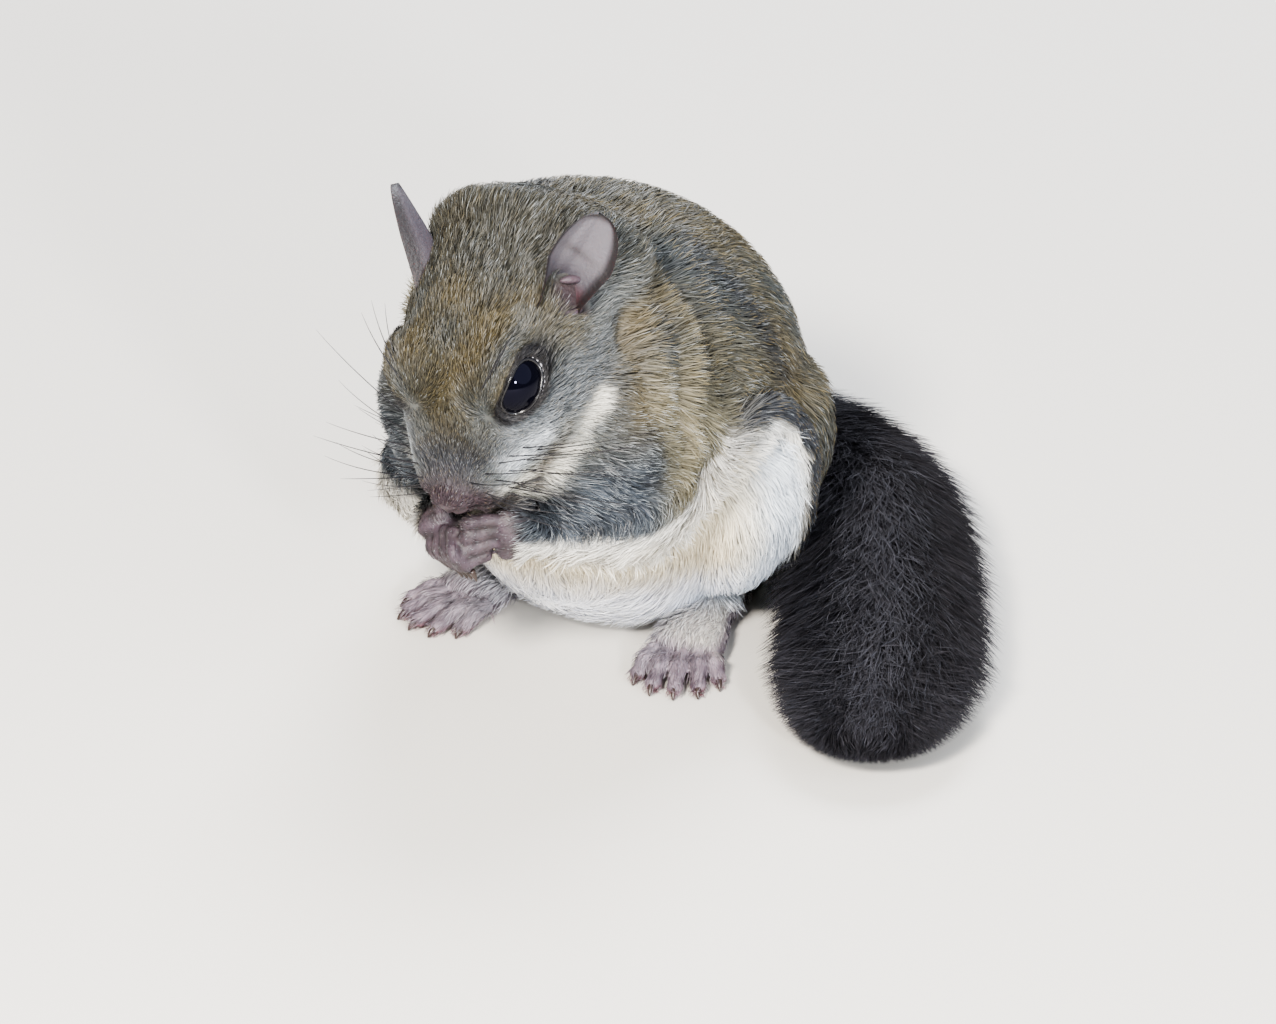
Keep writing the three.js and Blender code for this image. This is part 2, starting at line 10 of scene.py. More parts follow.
import bpy
import numpy as np
from mathutils import Matrix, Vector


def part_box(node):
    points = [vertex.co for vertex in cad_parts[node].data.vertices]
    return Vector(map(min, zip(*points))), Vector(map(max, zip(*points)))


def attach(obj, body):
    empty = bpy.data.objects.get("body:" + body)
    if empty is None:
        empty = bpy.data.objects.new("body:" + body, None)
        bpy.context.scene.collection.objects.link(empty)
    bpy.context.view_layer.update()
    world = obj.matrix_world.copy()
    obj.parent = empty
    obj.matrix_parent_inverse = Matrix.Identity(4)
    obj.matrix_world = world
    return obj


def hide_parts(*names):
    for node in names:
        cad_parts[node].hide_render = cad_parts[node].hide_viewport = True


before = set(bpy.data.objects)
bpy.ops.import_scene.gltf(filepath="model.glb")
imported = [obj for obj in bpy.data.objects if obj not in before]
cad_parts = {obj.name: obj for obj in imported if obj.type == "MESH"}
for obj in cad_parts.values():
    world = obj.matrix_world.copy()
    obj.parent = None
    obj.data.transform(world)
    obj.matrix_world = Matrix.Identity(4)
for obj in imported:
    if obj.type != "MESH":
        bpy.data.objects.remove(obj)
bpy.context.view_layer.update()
chance = np.random.default_rng(20)

# Driving sizes, in millimetres and degrees

MM = 0.001
EYE_RADIUS = 4.9
EYE_AT = np.array([7.1, -4.4, 5.2])  # left eye, in the head's frame
EYE_AXIS = np.array([0.928, -0.37, 0.02])  # of the mound that carries the eye
LID_AXIS = np.array([0.867, -0.363, 0.34])  # the middle of the opening of the lids
LID_OPENING = 30.0  # from that axis to the middle of each lid's edge
LID_CORNERS = 20.6  # how much further the two corners are
LID_SLANT = np.radians(-18.5)  # the line of the corners, whose front end is lower
HEAD_AT = np.array([-0.4, -22.8, 47.6])
HEAD_PITCH = 38.8
HEAD_YAW = 4.5
HEAD_ROLL = 10.6
EAR_AT = np.array([11.9, 6.8, 7.6])  # root of the left ear, in the head's frame
EAR_AXIS = np.array([0.396, 0.788, 0.469])
EAR_FACING = np.array([0.758, -0.57, 0.317])
EAR_ROOT = np.array([11.7, 8.6, 5.9])  # the middle of the hollow that hair runs round
EAR_TALL = 13.2
EAR_WIDE = 9.4
EAR_SUNK = 0.14  # share of the height that runs down into the skin
VOXEL = 0.32  # the skin is closed over at this grain
SKIN_TRIANGLES = 190000
SIDES = ((1, "left"), (-1, "right"))


def unit(vectors):
    """Vectors divided by their lengths."""
    return vectors / np.maximum(np.linalg.norm(vectors, axis=-1, keepdims=True), 1e-9)


def away_from(spot, points):
    """How far points lie from a spot, or from one spot each."""
    return np.linalg.norm(points - spot, axis=1)


def turned(axis, degrees):
    """The matrix that turns by an angle about one of the three axes."""
    return np.array(Matrix.Rotation(np.radians(degrees), 3, axis))


HEAD_TURN = turned("Z", HEAD_YAW) @ turned("X", HEAD_PITCH) @ turned("Y", -HEAD_ROLL)


def from_head(points):
    """Points of the head's frame in the figure's frame: turned, then moved."""
    return np.asarray(points) @ HEAD_TURN.T + HEAD_AT


def to_head(points):
    """Points of the figure's frame in the head's frame."""
    return (np.asarray(points) - HEAD_AT) @ HEAD_TURN


def mirrored(points, left):
    """Points of the left side, or their mirror image on the right for left = -1."""
    return np.asarray(points, float) * np.array([left, 1, 1])


def on_side(rows, left):
    """Stations of the left side, or their mirror image on the right for left = -1."""
    return [(left * x, *rest) for x, *rest in rows]


def in_head(rows, left=1):
    """Stations of the head's frame, with their middles in the figure's frame."""
    return [(*from_head([left * x, y, z]), *reach) for x, y, z, *reach in rows]


eye_low, eye_high = (np.array(corner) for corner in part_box("eye_left"))
SHIFT = (eye_low + eye_high) / 2 / MM - from_head(EYE_AT)


# Curves and closed forms


def step(value, low, high):
    """0 below low, 1 above high, and a smooth cubic between them."""
    t = np.clip((value - low) / (high - low), 0, 1)
    return t * t * (3 - 2 * t)


def bell(distance, width, power=2):
    """1 at no distance and 1/e at the width: e to the minus (distance / width)^power."""
    return np.exp(-((distance / width) ** power))


def read(stations, share):
    """The stations' columns at shares of the way: between b and c the cubic that
    leaves along the line from a to c and arrives along the line from b to d."""
    last = len(stations) - 1
    at = np.clip(share, 0, 1) * last
    first = np.minimum(at.astype(int), last - 1)
    t = (at - first)[:, None]
    a, b, c, d = (stations[np.clip(first + i, 0, last)] for i in (-1, 0, 1, 2))
    leave = (c - a) / 2
    arrive = (d - b) / 2
    cube = 2 * b - 2 * c + leave + arrive
    square = 3 * c - 3 * b - 2 * leave - arrive
    return cube * t**3 + square * t**2 + leave * t + b


def limb(stations, side, ends=(0.22, 0.22), coat=0.0, square_on=None):
    """A form along a path: stations of x, y, z, wide, above, below; side is the way
    its width runs; it rounds off over the shares given in ends. Its rings stand
    square to the path, or to the one direction square_on."""
    table = np.array([(*row, *[row[-1]] * (6 - len(row))) for row in stations], float)
    return {
        "stations": table,
        "side": np.array(side, float),
        "ends": ends,
        "coat": coat,
        "square_on": square_on,
    }


def rings(form, share):
    """Middle, side, up and way of the rings at the shares, with their reaches."""
    table = form["stations"]
    row = read(table, share)
    near = 1e-3
    before = read(table, share - near)[:, :3]
    way = unit(read(table, share + near)[:, :3] - before)
    if form["square_on"] is not None:
        way = np.broadcast_to(form["square_on"], way.shape)
    side = unit(form["side"] - way * (way @ form["side"])[:, None])
    return row[:, :3], side, np.cross(way, side), way, row[:, 3:]


def fading(form, share):
    """How far the ends have rounded off: a quarter circle at each end."""
    start, end = form["ends"]
    first = np.sqrt(1 - (1 - np.clip(share / start, 0, 1)) ** 2)
    last = np.sqrt(1 - (1 - np.clip((1 - share) / end, 0, 1)) ** 2)
    return np.minimum(first, last)


def surface(form, share, angle, grow=0.0):
    """Points on a form's skin: the ring's middle, plus cos(angle) of its width along
    side, plus sin(angle) of its height along up, each larger by grow."""
    middle, side, up, way, reaches = rings(form, share)
    wide, above, below = reaches.T
    fade = fading(form, share)
    reach = np.where(np.sin(angle) > 0, above, below)
    out = np.maximum(wide * fade + grow, 0.05) * np.cos(angle)
    rise = np.maximum(reach * fade + grow, 0.05) * np.sin(angle)
    end = grow * (2 * share - 1) ** 3
    return middle + side * out[:, None] + up * rise[:, None] + way * end[:, None]


def closed_form(form, grow, rows, columns):
    """A closed mesh of a form: rows of points round it, closer at its ends, and a
    point at each end. Gives points, quads and triangles."""
    share = (1 - np.cos(np.linspace(0, np.pi, rows))) / 2
    share = np.clip(share, 0.002, 0.998)  # a hair short of the ends, where rings vanish
    angle = np.linspace(0, 2 * np.pi, columns, endpoint=False)
    s, a = (grid.ravel() for grid in np.meshgrid(share, angle, indexing="ij"))
    points = surface(form, s, a, grow)
    ends = points.reshape(rows, columns, 3)[[0, -1]].mean(axis=1)
    return np.concatenate([points, ends]), *tube_faces(rows, columns)


def strip(rows, columns, closed=False):
    """Quads between neighbouring rows of points, all the way round each row; closed
    joins the last row to the first."""
    bands = rows if closed else rows - 1
    i, j = np.meshgrid(np.arange(bands), np.arange(columns), indexing="ij")
    after = (j + 1) % columns
    low, high = i * columns, (i + 1) % rows * columns
    corners = (low + j, high + j, high + after, low + after)
    return np.stack([corner.ravel() for corner in corners], axis=1)


def tube_faces(rows, columns):
    """Quads between neighbouring rows, and a fan of triangles to a point at each end."""
    j = np.arange(columns)
    after = (j + 1) % columns
    first = rows * columns
    top = (rows - 1) * columns
    fans = [
        np.stack([np.full(columns, first), j, after], axis=1),
        np.stack([np.full(columns, first + 1), top + after, top + j], axis=1),
    ]
    return strip(rows, columns), np.concatenate(fans)


def outward(points, *face_sets):
    """Faces turned so that the closed surface holds a positive volume."""
    volume = 0.0
    middle = points.mean(axis=0)
    for faces in face_sets:
        for i in range(1, faces.shape[1] - 1):
            a, b, c = (points[faces[:, k]] - middle for k in (0, i, i + 1))
            volume += np.einsum("ij,ij->", a, np.cross(b, c))
    if volume > 0:
        return face_sets
    return tuple(faces[:, ::-1] for faces in face_sets)


def joined(parts):
    """Several closed shapes of quads and triangles as one."""
    points, quads, fans, count = [], [], [], 0
    for p, *faces in parts:
        q, f = outward(p, *faces)
        points.append(p)
        quads.append(q + count)
        fans.append(f + count)
        count += len(p)
    return np.concatenate(points), np.concatenate(quads), np.concatenate(fans)


# Meshes and materials


def packed(points):
    """Points of the figure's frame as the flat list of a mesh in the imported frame."""
    return ((points + SHIFT) * MM).astype(np.float32).ravel()


def new_mesh(name, points, *face_sets):
    """A mesh from points of the figure's frame and arrays of faces."""
    mesh = bpy.data.meshes.new(name)
    corners = np.concatenate([faces.ravel() for faces in face_sets])
    sizes = np.concatenate([np.full(len(f), f.shape[1]) for f in face_sets])
    starts = np.concatenate([[0], np.cumsum(sizes)[:-1]])
    mesh.vertices.add(len(points))
    mesh.loops.add(len(corners))
    mesh.polygons.add(len(sizes))
    mesh.vertices.foreach_set("co", packed(points))
    mesh.loops.foreach_set("vertex_index", corners.astype(np.int32))
    mesh.polygons.foreach_set("loop_start", starts.astype(np.int32))
    mesh.update(calc_edges=True)
    mesh.shade_smooth()
    return mesh


def new_object(name, data):
    """An object of the scene from its mesh, camera or light."""
    thing = bpy.data.objects.new(name, data)
    bpy.context.scene.collection.objects.link(thing)
    return thing


def new_piece(name, mesh, material, replaced=()):
    """A piece of the figure that rides on the one body."""
    piece = new_object(name, mesh)
    mesh.materials.append(material)
    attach(piece, "root")
    if replaced:
        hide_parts(*replaced)
    return piece


def linear(colour):
    """An sRGB hex colour as linear red, green and blue."""
    digits = colour.lstrip("#")
    srgb = np.array([int(digits[i : i + 2], 16) for i in (0, 2, 4)]) / 255
    return np.where(srgb <= 0.04045, srgb / 12.92, ((srgb + 0.055) / 1.055) ** 2.4)


def rgba(colour):
    """A hex colour for a shader socket."""
    return (*linear(colour), 1.0)


def mix(a, b, share):
    """Colours from a to b by a share for each point; each may be a hex colour."""
    a, b = (linear(c) if isinstance(c, str) else c for c in (a, b))
    return a + (b - a) * np.reshape(share, (-1, 1))


def layered(colour, *layers):
    """Colours under layers of other colours, each laid on by its share."""
    for shade, share in layers:
        colour = mix(colour, shade, share)
    return colour


def add(tree, kind, links=None, **settings):
    """Adds a node, with its settings, socket values and links by socket name."""
    node = tree.nodes.new(kind)
    for key, value in settings.items():
        setattr(node, key, value)
    for socket, source in (links or {}).items():
        if isinstance(source, bpy.types.NodeSocket):
            tree.links.new(source, node.inputs[socket])
        else:
            node.inputs[socket].default_value = source
    return node


def new_material(name, **shader_values):
    """A material with one shader, and the values of its sockets."""
    material = bpy.data.materials.new(name)
    material.use_nodes = True
    shader = material.node_tree.nodes["Principled BSDF"]
    for word, value in shader_values.items():
        socket = word.replace("_", " ").title().replace("Ior", "IOR")
        shader.inputs[socket].default_value = value
    return material, material.node_tree, shader


def plain_material(name, colour, **values):
    """One even colour."""
    material, _, shader = new_material(name, **values)
    shader.inputs["Base Color"].default_value = rgba(colour)
    return material


def paint(mesh, colours):
    """Keeps a linear colour for each vertex in the attribute "marks"."""
    attribute = mesh.color_attributes.new("marks", "BYTE_COLOR", "POINT")
    filled = np.ones((len(colours), 4), np.float32)
    filled[:, :3] = np.clip(colours, 0, 1)
    attribute.data.foreach_set("color", filled.ravel())


def ripple(points, wavelength, seed, waves=7):
    """Smooth noise from about -1 to 1: the mean of sines along random directions,
    about one wavelength from crest to crest."""
    draw = np.random.default_rng(seed)
    ways = unit(draw.normal(size=(waves, 3))) * draw.uniform(0.7, 1.4, (waves, 1))
    starts = draw.uniform(0, 2 * np.pi, waves)
    phase = points @ (ways.T * 2 * np.pi / wavelength) + starts
    return np.sin(phase).mean(axis=1) * 1.9


# The body's forms, with the depth of the coat over each

TORSO = [  # height, front, back, half width, lean to the left
    (-1, -4, 27, 14.5, 0),
    (3, -10.5, 31.5, 19, 0),
    (12, -17.5, 35.5, 23, 0),
    (21, -21.5, 36.8, 25, -0.3),
    (30, -22.5, 36.8, 26.4, -0.5),
    (39, -23.5, 34.6, 26.2, -1),
    (47, -23, 30, 23.8, -1.7),
    (54, -21.5, 22.6, 19.8, -2.5),
    (59, -19, 13.6, 15, -3.2),
    (62.8, -15, 1.5, 9, -3.8),
]
HEAD = [  # aside, along, up, half width, above, below, in the head's frame
    (0, 21, 1.5, 9, 9, 8),
    (0, 16, 1.2, 12, 11.2, 10.5),
    (0, 10, 0.8, 14.4, 12.2, 12),
    (0, 4, 0.3, 14.9, 12.4, 12.6),
    (0, -2, -0.3, 14, 11.8, 12),
    (0, -8, -1.2, 12.2, 9.4, 10.2),
    (0, -13, -2, 9.8, 6.8, 8),
    (0, -17, -2.7, 7.5, 4.8, 6),
    (0, -20.4, -3, 4.8, 3.1, 3.6),
]
SHOULDER = {1: [14.5, -11.5, 42], -1: [-15.5, -12.5, 40]}
ELBOW = {1: [19.8, -7, 30], -1: [-18, -12, 26]}
WRIST = {1: [9.6, -28, 27.4], -1: [-5.8, -28.4, 26.8]}


def between(a, b, share):
    """The point at a share of the way from a to b."""
    return np.array(a) + (np.array(b) - np.array(a)) * share


def torso_form():
    """Level rings from the floor to the shoulders, from TORSO."""
    rows = []
    for z, front, back, wide, lean in TORSO:
        middle = front + (back - front) * 0.52
        rows.append((lean, middle, z, wide, back - middle, middle - front))
    return limb(rows, [1, 0, 0], (0.02, 0.16), 3.0, np.array([0, 0, 1.0]))


def skull_form():
    """Rings square to the head's length, from the nape to the tip of the muzzle."""
    return limb(in_head(HEAD), HEAD_TURN[:, 0], (0.22, 0.07), 1.0, -HEAD_TURN[:, 1])


def upper_arm(left):
    """From the shoulder to the elbow."""
    middle = between(SHOULDER[left], ELBOW[left], 0.5)
    rows = [(*SHOULDER[left], 8, 7.4), (*middle, 9, 7.8), (*ELBOW[left], 8, 7)]
    return limb(rows, [0, 0.3, 1], (0.35, 0.4), 2.2)


def forearm(left):
    """From the elbow to the wrist, fuller below."""
    middle = between(ELBOW[left], WRIST[left], 0.45) + [1.6 * left, -1, -0.8]
    rows = [(*ELBOW[left], 7.6, 6.4), (*middle, 7.2, 5.6), (*WRIST[left], 2.9, 2.4)]
    return limb(rows, [0, 0.2, 1], (0.3, 0.08), 1.5)


def thigh(left):
    """From the hip along the flank to the knee."""
    rows = [(13, 24, 20, 13, 12), (16.6, 15.5, 24.5, 14.5, 11.6), (20.3, 4.8, 28.5, 9, 8)]
    return limb(on_side(rows, left), [0, 0.2, 1], (0.35, 0.4), 2.6)


def shank(left):
    """From the knee down to the ankle."""
    rows = [(20.3, 4.8, 28.5, 8.6, 8), (20, 5.6, 17, 10.4, 8.4), (16.5, 9.5, 5.5, 7, 6)]
    return limb(on_side(rows, left), [0, 1, 0], (0.35, 0.3), 2.2)


FOLD = [
    (9.8, -26, 24.6, 1.6, 1.3),
    (17.4, -17, 22.4, 2.6, 1.6),
    (22, -8, 27.4, 3, 1.7),
    (23.6, -0.5, 33, 3, 1.7),
    (25, 5.5, 34.6, 2.8, 1.7),
    (26.8, 9.8, 31, 2.6, 1.7),
    (27.2, 11.8, 23, 2.6, 1.6),
    (25.4, 11.5, 13, 2.4, 1.6),
    (21.5, 11.5, 6, 1.8, 1.4),
]


def flying_skin(left):
    """The soft fold from the wrist under the elbow, over the knee to the ankle."""
    return limb(on_side(FOLD, left), [0, 0.4, 1], (0.06, 0.06), 0.2)


def loose_skin(left):
    """What fills the creases: skin from the neck over the shoulder, from the wrist up
    to the cheek, from the elbow to the knee, and from the fold to the leg's front."""
    shapes = [
        [(8, -9, 50, 8.5, 8), (13, -8.5, 45, 9.2, 8.6), (16.8, -8.5, 37, 8.5, 8)],
        [
            (6.5, -26.5, 30, 4, 4),
            (11, -23, 33, 6, 5.4),
            (15.5, -17.5, 36.5, 7.6, 7),
            (18, -12, 39, 8, 7),
        ],
        [(19, -8, 32, 7.5, 6.5), (20.5, -1, 31.5, 7, 6.5), (21, 5, 29, 7, 6.5)],
        [
            (21, -6, 25, 4.5, 4),
            (21.5, 2, 27, 6.5, 5.5),
            (23, 7.5, 26, 6.3, 5),
            (23.5, 9, 18, 5.5, 4.5),
            (22, 9, 11, 4.5, 4),
        ],
    ]
    return [limb(on_side(rows, left), [0, 0.3, 1]) for rows in shapes]


TAIL = limb(
    [
        (-5, 30, 9.5, 6, 6.5, 6.5),
        (1, 39, 8.8, 8, 7.4, 8),
        (11, 42.5, 7.8, 10.5, 8, 8),
        (23.5, 34.5, 7.2, 13, 8, 7.6),
        (37, 15, 7, 14.8, 7.6, 7.4),
        (48, -4, 6.4, 14.8, 7, 6.8),
        (56.8, -23.2, 5.4, 13.5, 5.4, 5.8),
    ],
    [1, 0.6, 0],
    (0.06, 0.2),
)
TAIL_CORE = 0.42  # share of the brush's thickness
TAIL_CORE_LONG = 0.86


def tail_core():
    """The flesh of the tail: the first rings of the brush, made thinner."""
    share = np.linspace(0, TAIL_CORE_LONG, 8)
    table = read(TAIL["stations"], share)
    table[:, 3:] *= TAIL_CORE
    return limb(table, TAIL["side"], (0.06, 0.15))


COLLAR = limb(
    [
        (-0.6, -17.5, 49.5, 15, 13, 15),
        (-1.2, -14, 49.5, 17.6, 15, 17),
        (-1.8, -8.5, 46.5, 20.4, 16.8, 19),
        (-2, -1, 40, 21, 18.5, 20),
    ],
    [1, 0, 0],
    (0.3, 0.3),
    2.6,
)

# Hands: a palm and four slender fingers with thicker joints

HANDS = {
    1: {
        "knuckles": [5.6, -32.6, 27.6],
        "bend": [3, -35.6, 27],
        "tips": [1, -34.2, 25.2],
        "spread": [0.12, 0.15, 1],
    },
    -1: {
        "knuckles": [-2.2, -33.2, 27.4],
        "bend": [-0.6, -35.8, 25],
        "tips": [1.6, -34.6, 22.4],
        "spread": [0.85, -0.45, 0.3],
    },
}
FINGER_PITCH = 1.9
FINGER_THICK = 1.8
FEET = {
    1: {"heel": [14.5, 13, 2.3], "ball": [19.4, -7.6, 2.1], "heading": 24},
    -1: {"heel": [-13.5, 13, 2.3], "ball": [-14.6, -9.6, 2.1], "heading": -18},
}
TOE_FAN = 7.5
TOE_PITCH = 2.15
TOE_LONG = 8.0
TOE_THICK = 2.3
CLAW_LONG = 1.5
FOLD_PITCH = 6.2  # from one fold of loose skin to the next


def digit(path, thick, side):
    """A finger or toe through root, bend and tip: thin bones between thick joints."""
    root, bend, tip = (np.array(p) for p in path)
    places = [root, between(root, bend, 0.5), bend, between(bend, tip, 0.55), tip]
    shares = [0.52, 0.45, 0.52, 0.43, 0.45]
    rows = [(*p, thick * s, thick * s) for p, s in zip(places, shares)]
    return limb(rows, side, (0.12, 0.2))


def finger_paths(left):
    """Root, bend and tip of each finger, one beside the other along spread."""
    hand = HANDS[left]
    across = unit(np.array(hand["spread"], float))
    paths = []
    for i in range(4):
        aside = (i - 1.5) * FINGER_PITCH
        parts = (("knuckles", 0.9), ("bend", 1.1), ("tips", 0.8))
        paths.append([hand[key] + across * aside * share for key, share in parts])
    return paths, across


def hand_forms(left):
    """Palm and fingers."""
    hand = HANDS[left]
    wrist = WRIST[left]
    rows = [
        (*between(wrist, hand["knuckles"], -0.5), 2.6, 2.2),
        (*wrist, 2.4, 1.9),
        (*between(wrist, hand["knuckles"], 0.6), 3.5, 2),
        (*hand["knuckles"], 3.9, 1.8),
    ]
    paths, across = finger_paths(left)
    palm = limb(rows, hand["spread"], (0.1, 0.25))
    return [palm] + [digit(path, FINGER_THICK, across) for path in paths]


def heading(degrees):
    """A level direction: 0 is straight ahead, positive is to the left."""
    angle = np.radians(degrees)
    return np.array([np.sin(angle), -np.cos(angle), 0])


def toe_paths(left):
    """Root, bend and tip of each toe, fanned out from the ball of the foot."""
    foot = FEET[left]
    aside = heading(foot["heading"] + 90)
    paths = []
    for place in range(-2, 3):
        long = TOE_LONG * (0.78 if abs(place) == 2 else 1)
        way = heading(foot["heading"] + place * TOE_FAN)
        root = foot["ball"] + aside * place * TOE_PITCH - way * abs(place) * 0.7
        heights = ((0, 2.0), (0.5, 2.1), (1, 1.05))
        paths.append([np.array([*(root + way * s * long)[:2], z]) for s, z in heights])
    return paths, aside


def foot_forms(left):
    """Sole and toes, with a round pad under each toe."""
    foot = FEET[left]
    rows = [
        (*foot["heel"], 3.2, 2.6),
        (*between(foot["heel"], foot["ball"], 0.5), 3.8, 2.8, 2.4),
        (*foot["ball"], 5.4, 2.3, 2.2),
    ]
    paths, aside = toe_paths(left)
    forms = [limb(rows, [1, 0, 0], (0.12, 0.16))]
    for path in paths:
        forms.append(digit(path, TOE_THICK, aside))
        _, bend, tip = path
        pad = [(*between(bend, tip, s), 1.15, 1.0, 0.8) for s in (0.55, 0.9, 1.15)]
        forms.append(limb(pad, aside, (0.4, 0.4)))
    return forms


# Face: lids, nose and mouth on the skull

NOSE_AT = np.array([0.2, -19.4, -2.5])
MOUTH_Y = [-21.5, -18.1, -15.8, -12.9]  # the lips' line in side view, front to corner
MOUTH_Z = [-5.0, -4.6, -5.1, -6.0]
NAPE = [  # aside, along, up, half width, above, below, in the head's frame
    (0, 9, 0.2, 13.4, 11.6, 12.6),
    (0, 13, 0.4, 15.6, 12.6, 13.6),
    (0, 17, 0, 16.6, 13.2, 14),
    (0, 22, -1.4, 17, 13, 14),
]
JOWL = [  # with its half width
    (4.4, -15.4, -5.6, 2.4),
    (7.2, -11, -6.9, 4),
    (9.6, -5.5, -7.2, 5),
    (10.8, 0, -7.2, 5.8),
    (11, 5.5, -8.4, 6.4),
    (11, 11, -9, 6.4),
]
LIP = [  # off the nose, with its half width: the full lip that the whiskers grow from
    (1.3, 0.6, -2.4, 1.7),
    (2.6, 2.4, -2.6, 2.2),
    (3.9, 5.4, -3.0, 2.3),
    (4.9, 9.2, -3.6, 1.9),
]


def face_forms():
    """Nose pad, lips, jowls, chin, the mounds that carry the eyes, and the loose skin
    that joins the head to the neck, at the nape and at the throat."""
    forms = []
    for left in (1, -1):
        eye = from_head(mirrored(EYE_AT, left))
        axis = HEAD_TURN @ mirrored(EYE_AXIS, left)
        along = HEAD_TURN @ np.array([0, -1.0, 0.25])
        rows = [(*(eye + axis * s), 6.4, 5.9) for s in (-5.2, 0, 4.8)]
        forms.append(limb(rows, along, (0.5, 0.5)))
        rows = [(*from_head(NOSE_AT + [left * x, y, z]), w, w * 0.9) for x, y, z, w in LIP]
        forms.append(limb(rows, HEAD_TURN[:, 2], (0.25, 0.3)))
        forms.append(limb(in_head(JOWL, left), HEAD_TURN[:, 2], (0.3, 0.4)))
    pad = [(*from_head(NOSE_AT + [0, y, 0]), 3.1, 2.3) for y in (2.2, 0, -2.0)]
    forms.append(limb(pad, HEAD_TURN[:, 0], (0.3, 0.5)))
    forms.append(limb(in_head(NAPE), HEAD_TURN[:, 0], (0.3, 0.3), 1.3, -HEAD_TURN[:, 1]))
    throat = [*in_head([(2, -6, -9, 5, 4)]), (3, -27, 32, 4.4, 3.6), (3.5, -26, 25, 4, 3.4)]
    forms.append(limb(throat, [1, 0, 0], (0.3, 0.3)))
    chin = [(0, y, z, 2.4, 2.0) for y, z in ((-9, -9.2), (-13, -8.6), (-15.8, -7.6))]
    forms.append(limb(in_head(chin), HEAD_TURN[:, 0], (0.4, 0.45)))
    return forms


def lid_axes(left):
    """The lids' axis, the way up across it, and the way forward, in the head's frame."""
    axis = unit(mirrored(LID_AXIS, left))
    upright = unit(np.array([0, 0, 1.0]) - axis * axis[2])
    return axis, upright, np.cross(axis, upright) * left


def eye_coordinates(points, left):
    """Offset and distance from the eye's middle, degrees from the lids' axis, and the
    angle round it: 0 at the front, a quarter turn at the top."""
    offset = to_head(points) - mirrored(EYE_AT, left)
    away = away_from(0, offset)
    axis, upright, forward = lid_axes(left)
    along = offset @ axis
    angle = np.degrees(np.arccos(np.clip(along / np.maximum(away, 1e-6), -1, 1)))
    around = np.arctan2(offset @ upright, offset @ forward)
    return offset, away, angle, around


def lid_edge(around):
    """Degrees from the lids' axis to their edge: the opening, and |cos|^3 of the angle
    from the line of the corners times what the corners add."""
    corner = np.abs(np.cos(around - LID_SLANT)) ** 3
    return LID_OPENING + LID_CORNERS * corner


LID_FUNNEL = 0.3  # rise of the pressed skin for each mm outwards
LID_SOFT = 0.6  # half the width of the bend at the funnel's edge
LID_RIM_HIGH = 0.45  # of the soft rim round the lids
NOSTRIL_WIDE = np.array([0.85, 1.6, 0.6])
NOSTRIL_DEEP = 1.1
MOUTH_WIDE = 0.42
MOUTH_DEEP = 0.8
CLEFT_DEEP = 0.6  # the groove from the nose down to the lip


def opened(points, left):
    """Presses the skin round an eye down to a shallow funnel, which rises along the
    lids' axis by LID_FUNNEL for each mm outwards from the edge of the lids. What lies
    over it by less than LID_SOFT moves by (over + soft)^2 / (4 soft), a smooth bend."""
    axis = lid_axes(left)[0]
    offset, away, _, around = eye_coordinates(points, left)
    high = offset @ axis
    wide = np.sqrt(np.maximum(away**2 - high**2, 0))
    edge = np.radians(lid_edge(around))
    radius = EYE_RADIUS + 0.3
    over = high - radius * np.cos(edge) - LID_FUNNEL * (wide - radius * np.sin(edge))
    bend = np.clip(over + LID_SOFT, 0, 2 * LID_SOFT) ** 2 / (4 * LID_SOFT)
    over = np.where(over > LID_SOFT, over, bend)
    over = over * (high > 0) * step(-wide, -14, -9)
    return points - (over[:, None] * axis) @ HEAD_TURN.T


def past_lids(points, left):
    """Degrees past the edge of the lids, distance from the eye's middle, and the angle
    round the eye."""
    _, away, angle, around = eye_coordinates(points, left)
    return angle - lid_edge(around), away, around


def nostril(left):
    """The middle of a nostril, in the head's frame."""
    return NOSE_AT + [left * 1.75, -1.5, -0.35]


def shaped_face(points):
    """Moves the skin round the eyes off the ball and behind it inside the lids,
    presses in the line of the mouth and the nostrils, and lifts the rim of the lids."""
    moved = points.copy()
    for left in (1, -1):
        moved = opened(moved, left)
        offset, away, angle, around = eye_coordinates(moved, left)
        past = angle - lid_edge(around)
        rim = LID_RIM_HIGH * bell(past - 7, 6)
        outside = np.maximum(away, EYE_RADIUS + 0.28) + rim * (away < EYE_RADIUS + 3)
        inside = np.minimum(away, EYE_RADIUS - 0.5)
        target = inside + (outside - inside) * step(past, -3, 3)
        near = away < EYE_RADIUS + 5
        scale = np.where(near, target / np.maximum(away, 1e-6), 1)
        new = mirrored(EYE_AT, left) + offset * scale[:, None]
        moved[near] = from_head(new[near])
    local = to_head(moved)
    for left in (1, -1):
        shape = (local - nostril(left)) / NOSTRIL_WIDE
        local[:, 1] += NOSTRIL_DEEP * np.exp(-(shape**2).sum(axis=1))
    groove = MOUTH_DEEP * bell(mouth_distance(local), MOUTH_WIDE)
    local += unit(np.array([0, -10, -5.0]) - local) * groove[:, None]
    cleft = bell(local[:, 0] - NOSE_AT[0], 0.35)
    cleft *= step(-local[:, 1], 19.5, 21) * step(-local[:, 2], 2.4, 3.4) * (local[:, 2] > -7)
    local[:, 1] += CLEFT_DEEP * cleft
    return from_head(local)


